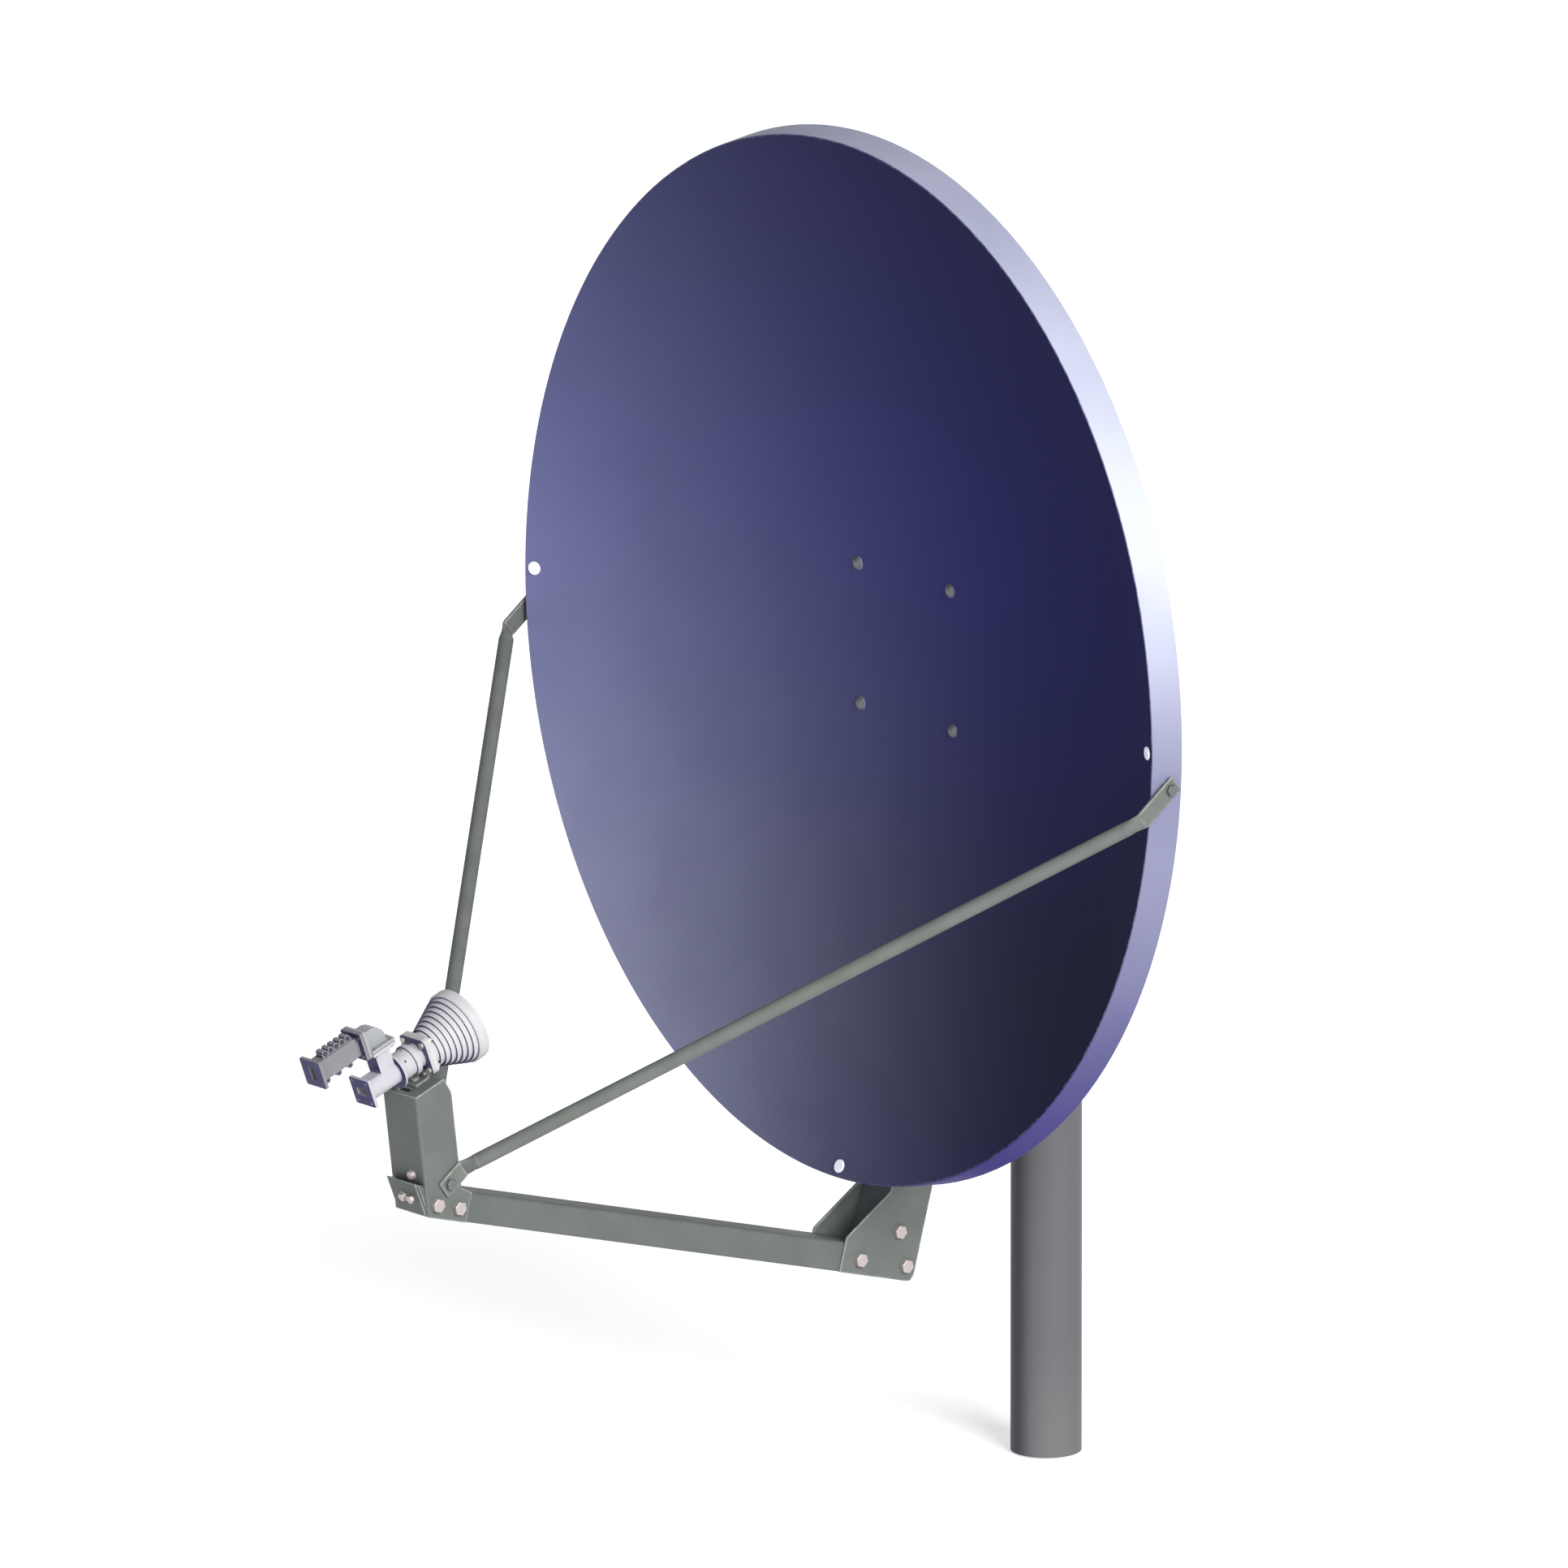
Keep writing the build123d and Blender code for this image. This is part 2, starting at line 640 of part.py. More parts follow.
def face_bolt(plane, washer_d, grip):
    """Hex bolt with a washer on a face; washer, bolt and nut behind are separate solids."""
    washer = extrude(plane * (Circle(washer_d / 2) - Circle(face_bolt_d / 2 + washer_gap)), 1.4)
    bolt = extrude(plane.offset(1.4) * hexagon(face_bolt_d), 0.65 * face_bolt_d)
    bolt += extrude(plane.offset(1.4) * Circle(face_bolt_d / 2), -(grip + 1.4 + 1.2 * face_bolt_d))
    nut = extrude(plane.offset(-grip) * (hexagon(face_bolt_d) - Circle(face_bolt_d / 2 + washer_gap)),
            -0.8 * face_bolt_d)
    return [washer, bolt, nut]


def boom_end_cap():
    """Plastic plug in the boom's rear end, with a thin flange over the tube's edge."""
    stop = Plane(origin=boom.from_local_coords((boom_rear, 0, 0)), x_dir=(1, 0, 0), z_dir=boom.x_dir)
    flange = extrude(stop * RectangleRounded(boom_width - 0.4, boom_height - 0.4, boom_round), cap_flange)
    wide, high = boom_width - 2 * boom_wall - 0.4, boom_height - 2 * boom_wall - 0.4
    plug = extrude(stop * RectangleRounded(wide, high, boom_round - boom_wall), -cap_stem)
    return flange + (plug - extrude(stop * RectangleRounded(wide - 4, high - 4, 1), -cap_stem))


# ---------------------------------------------------------------- feed bracket
def bracket_bolt_spots():
    return [(bracket_bolt_front, bracket_bolt_q), (bracket_bolt_back, bracket_bolt_q)]


def bracket_outline():
    front_top = convert(feed, foot, (bracket_top_start, bracket_top_w))
    back_top = convert(feed, foot, (bracket_top_end, bracket_top_w))
    return [(0, -half_h), front_top, back_top, bracket_shoulder, bracket_heel,
            (bracket_tail, half_h), (bracket_tail, -half_h)]


def feed_bracket():
    """Folded sheet box: outer web, sloping top and two side plates that straddle the boom."""
    outline = bracket_outline()
    outer = boom_half + bracket_sheet
    body = slab(foot, outline, -outer, outer)
    front_edges = body.edges().filter_by(GeomType.LINE)
    web_dir = foot.from_local_coords((*outline[1], 0)) - foot.from_local_coords((*outline[0], 0))
    long_edges = [e for e in front_edges if abs((e % 0.5).dot(web_dir.normalized())) > 0.9999
                  and e.length > 0.9 * web_dir.length]
    body = fillet(long_edges, bracket_sheet)
    along = (Vector(*outline[1]) - Vector(*outline[0])).normalized()
    inward = Vector(along.Y, -along.X)
    top_along = (Vector(*outline[2]) - Vector(*outline[1])).normalized()
    start = Vector(*outline[0]) + inward * bracket_sheet - along * 60
    corner = Vector(*outline[1]) + (top_along - along) * (bracket_sheet / abs(along.cross(top_along).Z))
    far = corner + top_along * 200
    room = [(start.X, start.Y), (corner.X, corner.Y), (far.X, far.Y), (far.X, far.Y - 500),
            (start.X, far.Y - 500)]
    body -= slab(foot, room, -boom_half, boom_half)
    body -= slab(foot, [(-200, -200), (300, -200), (300, half_h + 0.3), (-200, half_h + 0.3)],
            -boom_half, boom_half)
    for s, q in bracket_bolt_spots():
        body -= bar(foot, s, q, bracket_bolt_d / 2 + hole_gap, -outer - 1, outer + 1)
    body -= bar(foot, strut_foot_s, strut_foot_q, strut_bolt_d / 2 + hole_gap, -outer - 1, outer + 1)
    body -= extrude(web_plane(web_bolt_x).offset(-9) * Circle(face_bolt_d / 2 + hole_gap), 18)
    body -= extrude(across_top(top_slot_b).offset(-9) * SlotOverall(22, 7), 18)
    body -= extrude(across_top(clamp_bolt_b()).offset(-9) * Circle(face_bolt_d / 2 + hole_gap), 18)
    return body


def across_top(b):
    """Plane on the bracket's top plate at distance b along the feed axis, facing up."""
    place = feed.from_local_coords((b, bracket_top_w, 0))
    return Plane(origin=place, x_dir=(1, 0, 0), z_dir=feed.y_dir)


def web_plane(x):
    """Plane on the bracket's web a little above the boom, facing forward."""
    outline = bracket_outline()
    low, top = Vector(*outline[0]), Vector(*outline[1])
    spot = low + (top - low) * web_bolt_share
    place = foot.from_local_coords((spot.X, spot.Y, 0)) + Vector(x, 0, 0)
    along = foot.from_local_coords((top.X, top.Y, 0)) - foot.from_local_coords((low.X, low.Y, 0))
    return Plane(origin=place, x_dir=(1, 0, 0), z_dir=Vector(1, 0, 0).cross(along))


def clamp_bolt_b():
    return horn_flange_b - clamp_t - 10.5


def feed_clamp():
    """Angle that stands on the bracket's top and holds the feed's square flange."""
    b = horn_flange_b
    w = bracket_top_w
    half = clamp_w / 2
    leg_top = -polariser_radius - 0.6
    outline = [(b - clamp_t - 21, w), (b, w), (b, leg_top), (b - clamp_t, leg_top),
            (b - clamp_t, w + clamp_t),
               (b - clamp_t - 21, w + clamp_t)]
    body = slab(feed, outline, -half, half)
    body -= extrude(across_top(clamp_bolt_b()).offset(-1) * Circle(face_bolt_d / 2 + hole_gap), 9)
    for x in (-9, 9):
        body -= extrude(across(feed, b - 9) * Pos(x, clamp_screw_w()) * Circle(1.7), 18)
    return body


def clamp_screw_w():
    return (-polariser_radius - 0.6 + bracket_top_w + clamp_t) / 2


def clamp_screws():
    """Two screws through the angle's upright leg into the flange, as separate solids."""
    pieces = []
    for x in (-9, 9):
        place = across(feed, horn_flange_b - clamp_t)
        head = extrude(place * Pos(x, clamp_screw_w()) * Circle(2.6), -2)
        pieces.append(head + extrude(place * Pos(x, clamp_screw_w()) * Circle(1.5), clamp_t + 4))
    return pieces


def clamp_bolt():
    """Bolt that holds the angle down on the bracket's top plate, with its nut underneath."""
    place = across_top(clamp_bolt_b()).offset(clamp_t)
    bolt = extrude(place * hexagon(face_bolt_d), 0.5 * face_bolt_d)
    bolt += extrude(place * Circle(face_bolt_d / 2), -(clamp_t + bracket_sheet + 8))
    seat = place.offset(-clamp_t - bracket_sheet)
    nut = extrude(seat * (hexagon(face_bolt_d) - Circle(face_bolt_d / 2 + washer_gap)),
            -0.8 * face_bolt_d)
    return [bolt, nut]


# ---------------------------------------------------------------- side struts
def strut_ends(side):
    """Bolt points of one strut, on the rim band and on the bracket's side plate."""
    rim_bolt = rim.from_local_coords((strut_rim_y, strut_rim_z, side * strut_rim_x()))
    half = boom_half + bracket_sheet
    foot_bolt = foot.from_local_coords((strut_foot_s, strut_foot_q, side * half))
    return rim_bolt, foot_bolt


def strut_tab(bolt, way, side, bend):
    """Flattened end: a rounded strip lying on its seat, from past the bolt hole to the bend."""
    out = Vector(side, 0, 0)
    place = Plane(origin=bolt, x_dir=way, z_dir=out)
    length = bend + strut_tab_tail
    strip = Pos(length / 2 - strut_tab_tail, 0) * RectangleRounded(length, strut_tab_w, 2)
    return extrude(place * strip, strut_tab_t), place


def strut(side):
    """Round tube with both ends pressed flat and bent to lie on the rim band and the bracket."""
    rim_bolt, foot_bolt = strut_ends(side)
    flat_way = Vector(0, foot_bolt.Y - rim_bolt.Y, foot_bolt.Z - rim_bolt.Z).normalized()
    rim_tab, rim_place = strut_tab(rim_bolt, flat_way, side, strut_rim_tab)
    foot_tab, foot_place = strut_tab(foot_bolt, flat_way * -1, side, strut_foot_tab)
    rise = Vector(side * strut_tab_t / 2, 0, 0)
    top = rim_bolt + flat_way * strut_rim_tab + rise
    low = foot_bolt - flat_way * strut_foot_tab + rise
    run = (low - top).normalized()
    flat = Vector(side, 0, 0).cross(run).normalized()
    body = rim_tab + foot_tab
    for end, way in ((top, run), (low, run * -1)):
        mouth = Plane(origin=end - way * 0.6, x_dir=flat, z_dir=way) * RectangleRounded(strut_tab_w,
                strut_tab_t, 1.6)
        neck = Plane(origin=end + way * strut_morph, x_dir=flat, z_dir=way) * Circle(strut_od / 2)
        body += loft([mouth.face(), neck.face()])
    start = top + run * strut_morph
    length = (low - top).length - 2 * strut_morph
    pipe = Plane(origin=start, x_dir=flat, z_dir=run)
    body += extrude(pipe * Circle(strut_od / 2), length)
    inside = extrude(pipe.offset(2) * Circle(strut_od / 2 - strut_wall), length - 4)
    drain = extrude(Plane(origin=low - run * (strut_morph + 30), z_dir=(0, 0, -1)) * Circle(2), strut_od)
    body = body - inside - drain
    for place in (rim_place, foot_place):
        body -= extrude(place * Circle(strut_bolt_d / 2 + hole_gap), strut_tab_t + 1, both=True)
    return body


def strut_rim_bolt(side):
    """Bolt from outside through the strut's tab and the rim band, with its nut inside the band."""
    x = strut_rim_x()
    seat = side * (x + strut_tab_t)
    nut_face = side * (x - 3 * shell)
    return [cross_bolt(rim, strut_rim_y, strut_rim_z, strut_bolt_d, seat, nut_face),
            cross_nut(rim, strut_rim_y, strut_rim_z, strut_bolt_d, nut_face, -side)]


def strut_foot_bolt(side):
    """Bolt from outside through the lower tab and the bracket's side plate."""
    half = boom_half + bracket_sheet
    seat = side * (half + strut_tab_t)
    nut_face = side * boom_half
    spot = (strut_foot_s, strut_foot_q)
    return [cross_bolt(foot, *spot, strut_bolt_d, seat, nut_face),
            cross_nut(foot, *spot, strut_bolt_d, nut_face, -side)]


# ---------------------------------------------------------------- feed: fixed part
def ring(frame, low, high, outer, inner=0.0):
    """A round ring about the feed axis between two distances along it."""
    body = extrude(across(frame, low) * Circle(outer), high - low)
    if inner:
        body -= extrude(across(frame, low - 1) * Circle(inner), high - low + 2)
    return body


def polariser():
    """Round section with a spigot for the transducer, a step ring and a square flange."""
    spigot = omt_rear - 3
    body = ring(feed, spigot, polariser_start + 4, spigot_radius)
    body += ring(feed, polariser_start, step_ring_start, polariser_radius)
    body += ring(feed, step_ring_start, step_ring_start + 7, polariser_radius + 2.5)
    body += ring(feed, step_ring_start + 6, horn_flange_b + 2, polariser_radius - 2)
    square = RectangleRounded(horn_flange_side, horn_flange_side, horn_flange_corner)
    body += extrude(across(feed, horn_flange_b) * square, horn_flange_t / 2)
    body -= ring(feed, spigot - 1, horn_flange_b + horn_flange_t, horn_bore)
    for x, w in horn_bolt_spots():
        body -= extrude(across(feed, horn_flange_b - 1) * Pos(x,
                w) * Circle(horn_bolt_d / 2 + hole_gap), 12)
    for x in (-9, 9):
        body -= extrude(across(feed, horn_flange_b) * Pos(x, clamp_screw_w()) * Circle(1.7), 5, both=True)
    for plane in set_screw_planes():
        body -= extrude(plane * Circle(set_screw_r + 0.15), 2 * polariser_radius)
    return body


def set_screw_planes():
    """Places of the small set screws, pointing outwards from the feed axis."""
    planes = []
    for b, turn in ((64.0, 35), (64.0, 145), (71.0, 90)):
        centre = feed.from_local_coords((b, 0, 0))
        out = feed.z_dir * cos(radians(turn)) + feed.y_dir * sin(radians(turn))
        planes.append(Plane(origin=centre, x_dir=feed.x_dir, z_dir=out))
    return planes


def set_screws():
    return [extrude(p.offset(horn_bore + 1.5) * Circle(set_screw_r), polariser_radius - horn_bore - 2.2)
            for p in set_screw_planes()]


def horn_bolt_spots():
    half = horn_bolt_pitch / 2
    return [(x, w) for x in (-half, half) for w in (-half, half)]


def horn_bolts():
    """Screws of the square flange; round heads face away from the dish, nuts face the dish."""
    pieces = []
    for x, w in horn_bolt_spots():
        seat = across(feed, horn_flange_b) * Pos(x, w)
        bolt = extrude(seat * Circle(0.78 * horn_bolt_d), -2.6)
        bolt += extrude(seat * Circle(horn_bolt_d / 2), horn_flange_t + 5.5)
        back = across(feed, horn_flange_b + horn_flange_t) * Pos(x, w)
        nut = extrude(back * (hexagon(0.9 * horn_bolt_d) - Circle(horn_bolt_d / 2 + washer_gap)),
                0.7 * horn_bolt_d)
        pieces += [bolt, nut]
    return pieces


def horn_front():
    return horn_flange_b + horn_flange_t + horn_length


def horn():
    """Feed horn: its outside grows in turned steps to a deep band at the mouth."""
    start = horn_flange_b + horn_flange_t
    square = RectangleRounded(horn_flange_side, horn_flange_side, horn_flange_corner)
    body = extrude(across(feed, start - horn_flange_t / 2) * square, horn_flange_t / 2)
    pitch = (horn_length - horn_band) / horn_steps
    for i in range(horn_steps):
        radius = horn_throat + (horn_mouth - horn_lip - horn_throat) * (i + 0.6) / horn_steps
        body += ring(feed, start + i * pitch - 0.5, start + (i + 1) * pitch, radius)
    band = ring(feed, horn_front() - horn_band - 0.5, horn_front(), horn_mouth)
    band = chamfer(band.edges().filter_by(GeomType.CIRCLE).sort_by(Axis(feed.origin, feed.x_dir))[0], 2.2)
    body += band
    low = across(feed, start - horn_flange_t / 2 - 0.01) * Circle(horn_bore)
    high = across(feed, horn_front() + 0.01) * Circle(horn_mouth - 4.5)
    body -= loft([low.face(), high.face()])
    body -= ring(feed, horn_front() - 3, horn_front() + 1, horn_mouth - 2.5)
    for x, w in horn_bolt_spots():
        body -= extrude(across(feed, start - horn_flange_t) * Pos(x,
                w) * Circle(horn_bolt_d / 2 + hole_gap), horn_flange_t + 0.01)
        body -= extrude(across(feed, start) * Pos(x, w) * Circle(0.85 * horn_bolt_d), 6.0)
    return body


def horn_window():
    """Thin weather window seated in the horn's mouth."""
    return ring(feed, horn_front() - 3, horn_front() - 3 + window_t, horn_mouth - 2.5 - washer_gap)


# ---------------------------------------------------------------- feed: part that turns for polarisation
def port_holes(plane, broad_up):
    """Four through holes of a waveguide flange; the wide spacing lies across the broad wall."""
    along = (port_hole_narrow, port_hole_broad) if not broad_up else (port_hole_broad, port_hole_narrow)
    spots = [(i * along[0] / 2, j * along[1] / 2) for i in (-1, 1) for j in (-1, 1)]
    return [extrude(plane * Pos(x, y) * Circle(port_hole_d / 2), 60, both=True) for x, y in spots]


def flange_plate(plane, thickness):
    return extrude(plane * RectangleRounded(flange_side, flange_side, 2.5), thickness)


def branch_plane(w):
    """Plane square to the side branch at height w; its axes are the feed's -X and its axis b."""
    return Plane(origin=feed.from_local_coords((branch_b, w, 0)), x_dir=(-1, 0, 0), z_dir=feed.y_dir)


def bend_plane(b):
    """Plane square to the filter's axis at distance b, facing the transmit port's side."""
    return Plane(origin=feed.from_local_coords((b, bend_axis_w, 0)), x_dir=(1, 0, 0), z_dir=-feed.x_dir)


def guide_hole(plane, wide_x, length):
    size = (guide_broad, guide_narrow) if wide_x else (guide_narrow, guide_broad)
    return extrude(plane * Rectangle(*size), length)


def omt_body():
    """Ortho-mode transducer: transmit flange, round body, side branch and round rear disc."""
    body = flange_plate(across(feed, 0), flange_t)
    body += ring(feed, flange_t, omt_rear, omt_radius)
    flat_end = branch_b - branch_half_b - 0.5
    body -= slab(feed, [(flange_t, omt_flat), (flat_end, omt_flat), (flat_end, 40), (flange_t, 40)],
            -30, 30)
    low, high = branch_b - branch_half_b, branch_b + branch_half_b
    body += slab(feed, [(low, 0), (high, 0), (high, branch_top - 2), (low, branch_top - 2)],
            -branch_half_x, branch_half_x)
    body += flange_plate(branch_plane(branch_top - flange_t), flange_t)
    body += ring(feed, omt_rear, omt_rear + disc_t, disc_radius)
    body -= guide_hole(across(feed, -1), True, 34)
    body -= ring(feed, 32, omt_rear + disc_t + 1, horn_bore)
    body -= ring(feed, omt_rear - 3.5, omt_rear + disc_t + 1, spigot_radius + pivot_run)
    body -= guide_hole(branch_plane(0), False, branch_top + 1)
    for hole in port_holes(across(feed, 0), False):
        body -= hole & flange_zone(across(feed, 0), flange_t)
    for hole in port_holes(branch_plane(branch_top), True):
        body -= hole & flange_zone(branch_plane(branch_top - flange_t), flange_t)
    return body


def flange_zone(plane, thickness):
    """The room of one flange, a little deeper than its plate."""
    return extrude(plane.offset(-0.5) * Rectangle(flange_side + 4, flange_side + 4), thickness + 1)


def gaskets():
    """Thin gaskets at the two closed flange pairs of the receive arm."""
    pieces = []
    for plane, wide in ((branch_plane(branch_top), False), (bend_plane(bend_face_b + gasket_t), False)):
        sheet = plane * (RectangleRounded(flange_side - 0.6, flange_side - 0.6,
                2) - Rectangle(guide_narrow, guide_broad))
        body = extrude(sheet, gasket_t)
        for hole in port_holes(plane, True):
            body -= hole & flange_zone(plane, gasket_t)
        pieces.append(body)
    return pieces


def rx_bend():
    """Flanged quarter bend: up from the branch, then back along the feed axis."""
    floor = branch_top + gasket_t
    face = bend_face_b + gasket_t + flange_t
    side = guide_broad / 2 + bend_wall
    right, crown = branch_b + side, bend_axis_w + side
    outline = Polygon((face - 1, floor + 1), (right, floor + 1), (right, crown), (face - 1, crown),
            align=None)
    outline = fillet(outline.vertices().sort_by(Axis.X)[-2:].sort_by(Axis.Y)[-1], 0.92 * side + 8)
    body = extrude(feed.offset(-bend_half_x) * outline, 2 * bend_half_x, dir=(1, 0, 0))
    body += flange_plate(branch_plane(floor), flange_t)
    body += flange_plate(bend_plane(face), flange_t)
    half = guide_broad / 2
    duct = Polygon((0, bend_axis_w - half), (branch_b - half, bend_axis_w - half),
            (branch_b - half, floor - 20),
                   (branch_b + half, floor - 20), (branch_b + half, bend_axis_w + half),
                   (0, bend_axis_w + half), align=None)
    duct = fillet(duct.vertices().sort_by(Axis.X)[-2:].sort_by(Axis.Y)[-1], 14)
    body -= extrude(feed.offset(-guide_narrow / 2) * duct, guide_narrow, dir=(1, 0, 0))
    for plane in (branch_plane(floor), bend_plane(face)):
        for hole in port_holes(plane, True):
            body -= hole & flange_zone(plane, flange_t)
    return body


def filter_half(side):
    """One half of the receive filter, split along its middle; the right half has both end flanges."""
    low, high = bend_face_b - filter_length, bend_face_b
    x0, x1 = (0, filter_half_x) if side > 0 else (-filter_half_x, 0)
    mid = bend_axis_w
    deep = [(low + 1, mid - filter_half_w), (high - 14, mid - filter_half_w),
            (high - 11, mid - filter_half_w + 1.5),
            (high - 1, mid - filter_half_w + 1.5), (high - 1, mid + filter_half_w - 1),
            (high - 14, mid + filter_half_w), (low + 1, mid + filter_half_w)]
    body = slab(feed, deep, x0, x1)
    rail = (0, 0.6 * filter_half_x) if side > 0 else (-0.6 * filter_half_x, 0)
    top = mid + filter_half_w
    body += slab(feed, [(low + 17, top - 1), (high - 9, top - 1), (high - 9, top + 4),
            (low + 17, top + 4)], *rail)
    for b, w in filter_screw_spots():
        lug = bar(feed, b, w, 4.2, *rail)
        body += lug + slab(feed, [(b - 4.2, w), (b + 4.2, w), (b + 4.2, mid), (b - 4.2, mid)], *rail)
    if side > 0:
        plates = flange_plate(bend_plane(high), flange_t) + flange_plate(bend_plane(low + flange_t),
                flange_t)
        body += plates
    else:
        body -= extrude(bend_plane(high + 1) * Rectangle(60, 60), flange_t + 1)
        body -= extrude(bend_plane(low + flange_t) * Rectangle(60, 60), flange_t + 1)
    body -= guide_hole(bend_plane(high + 1), False, filter_length + 2)
    for b, w in filter_screw_spots():
        body -= bar(feed, b, w, 1.7, x0 - 1, x1 + 1)
    if side > 0:
        for plane in (bend_plane(high), bend_plane(low + flange_t)):
            for hole in port_holes(plane, True):
                body -= hole & flange_zone(plane, flange_t)
    return body


def filter_screw_spots():
    """Screws that close the filter's halves: a row of lugs above, three below."""
    low = bend_face_b - filter_length
    above = [(low + 22 + i * (filter_length - 36) / (tuning_count - 1), bend_axis_w + filter_half_w + 4.5)
             for i in range(tuning_count)]
    below = [(low + b, bend_axis_w - filter_half_w - 3.2) for b in (14, 33, 52)]
    return above + below


def filter_screws():
    """Screws with round heads on the right and nuts on the left, each a separate solid."""
    pieces = []
    half = 0.6 * filter_half_x
    for b, w in filter_screw_spots():
        bolt = bar(feed, b, w, 2.7, half, half + 2.0) + bar(feed, b, w, 1.5, -half - 3.2, half + 1)
        nut = extrude(feed.offset(-half) * Pos(b, w) * (hexagon(3.4) - Circle(1.6)), -2.4)
        pieces += [bolt, nut]
    return pieces


def flange_screws():
    """Screws of the two closed flange pairs: heads on the first flange, tips in the second."""
    pieces = []
    grip = 2 * flange_t + gasket_t - 0.5
    spots = [(i * port_hole_broad / 2, j * port_hole_narrow / 2) for i in (-1, 1) for j in (-1, 1)]
    for plane in (branch_plane(branch_top - flange_t), bend_plane(bend_face_b - flange_t)):
        way = 1 if plane.z_dir.dot(feed.y_dir) > 0.5 else -1
        for x, y in spots:
            head = extrude(plane * Pos(x, y) * Circle(2.8), -way * 2.2)
            pieces.append(head + extrude(plane * Pos(x, y) * Circle(port_hole_d / 2 - 0.3), way * grip))
    return pieces


# ---------------------------------------------------------------- write every node
save("mast_pipe", mast_pipe())
save("mast_thrust_disc", mast_thrust_disc())
save("azimuth_canister", azimuth_canister())
save("azimuth_lock_bolts", *[azimuth_bolt(turn) for turn in azimuth_turns()])
save("azimuth_yoke", azimuth_yoke())
save("elevation_pivot_bolt", pivot_bolt())
save("elevation_pivot_nut", cross_nut(pivot, 0, 0, pivot_bolt_d, -(tilt_inner + cheek + body_gap), -1))
save("reflector_bracket", reflector_bracket())
lock_half = tilt_inner + cheek
save("elevation_lock_bolt", cross_bolt(pivot, *lock_point(), lock_bolt_d, lock_half, -lock_half))
save("elevation_lock_nut", cross_nut(pivot, *lock_point(), lock_bolt_d, -lock_half, -1))
save("reflector", reflector())
save("centre_bolts", *[centre_bolt(x, z) for x, z in centre_spots()])
save("centre_nuts", *[piece for x, z in centre_spots() for piece in centre_nut(x, z)])
save("rim_plugs", *[rim_plug(x, z) for x, z in plug_spots()])
save("back_spine", back_spine())
save("arm_bolts", *through_bolts(pivot, arm_bolt_spots(), frame_bolt_d, lock_half))
save("gusset_left", gusset(-1))
save("gusset_right", gusset(1))
gusset_half = boom_half + gusset_sheet
save("gusset_boom_bolts", *through_bolts(boom, boom_bolt_spots(), frame_bolt_d, gusset_half))
save("gusset_spine_bolts", *through_bolts(boom, spine_bolt_spots(), frame_bolt_d, gusset_half))
save("feed_boom", feed_boom())
save("boom_end_cap", boom_end_cap())
save("lip_bolt", *face_bolt(lip_plane(lip_bolt_spots()[0]), face_washer_d, lip_sheet + 1))
save("lip_stud", *face_bolt(lip_plane(lip_bolt_spots()[1]), 0.75 * face_washer_d, lip_sheet + 1))
save("feed_bracket", feed_bracket())
save("bracket_side_bolts", *through_bolts(foot, bracket_bolt_spots(), bracket_bolt_d,
        boom_half + bracket_sheet))
save("bracket_web_bolt", *face_bolt(web_plane(web_bolt_x), face_washer_d, bracket_sheet + 0.5))
save("feed_clamp_angle", feed_clamp())
save("feed_clamp_bolt", *clamp_bolt())
save("feed_clamp_screws", *clamp_screws())
save("strut_left", strut(-1))
save("strut_right", strut(1))
save("strut_rim_bolts", *strut_rim_bolt(-1), *strut_rim_bolt(1))
save("strut_foot_bolts", *strut_foot_bolt(-1), *strut_foot_bolt(1))
save("polariser", polariser())
save("polariser_set_screws", *set_screws())
save("feed_horn", horn())
save("horn_window", horn_window())
save("horn_flange_bolts", *horn_bolts())
save("omt_body", omt_body())
save("rx_bend", rx_bend())
save("rx_filter_right", filter_half(1))
save("rx_filter_left", filter_half(-1))
save("filter_screws", *filter_screws())
save("flange_screws", *flange_screws())
save("flange_gaskets", *gaskets())
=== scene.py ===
from math import cos, e, radians, sin

import bpy
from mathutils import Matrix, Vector


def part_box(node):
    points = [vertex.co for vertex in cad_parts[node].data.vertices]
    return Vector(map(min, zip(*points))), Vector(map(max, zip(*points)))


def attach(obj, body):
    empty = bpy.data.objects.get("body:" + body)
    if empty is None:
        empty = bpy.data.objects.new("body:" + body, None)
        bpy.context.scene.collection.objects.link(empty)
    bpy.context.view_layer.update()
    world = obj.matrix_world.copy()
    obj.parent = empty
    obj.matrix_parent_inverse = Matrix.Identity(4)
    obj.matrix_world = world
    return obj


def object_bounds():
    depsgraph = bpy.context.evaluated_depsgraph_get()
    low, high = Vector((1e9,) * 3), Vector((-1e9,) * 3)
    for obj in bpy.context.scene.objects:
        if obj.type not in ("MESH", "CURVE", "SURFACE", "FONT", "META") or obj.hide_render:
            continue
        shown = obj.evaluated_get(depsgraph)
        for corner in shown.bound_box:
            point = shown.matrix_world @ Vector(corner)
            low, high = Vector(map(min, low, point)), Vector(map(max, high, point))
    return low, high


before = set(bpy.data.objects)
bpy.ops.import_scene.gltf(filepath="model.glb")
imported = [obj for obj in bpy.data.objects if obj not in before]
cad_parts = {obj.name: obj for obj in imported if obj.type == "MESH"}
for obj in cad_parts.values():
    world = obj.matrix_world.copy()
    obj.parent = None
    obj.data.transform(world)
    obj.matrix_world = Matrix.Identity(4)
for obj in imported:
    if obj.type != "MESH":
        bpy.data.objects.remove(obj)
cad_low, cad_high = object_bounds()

# ---------------------------------------------------------------- reflector
# An offset dish, a thin shell with a turned-back rim, painted in a matt indigo. Painted shade in the colour
# makes the bowl darker towards +X and upwards, and the paler rim band darker at its bottom, with a painted
# highlight above its middle.


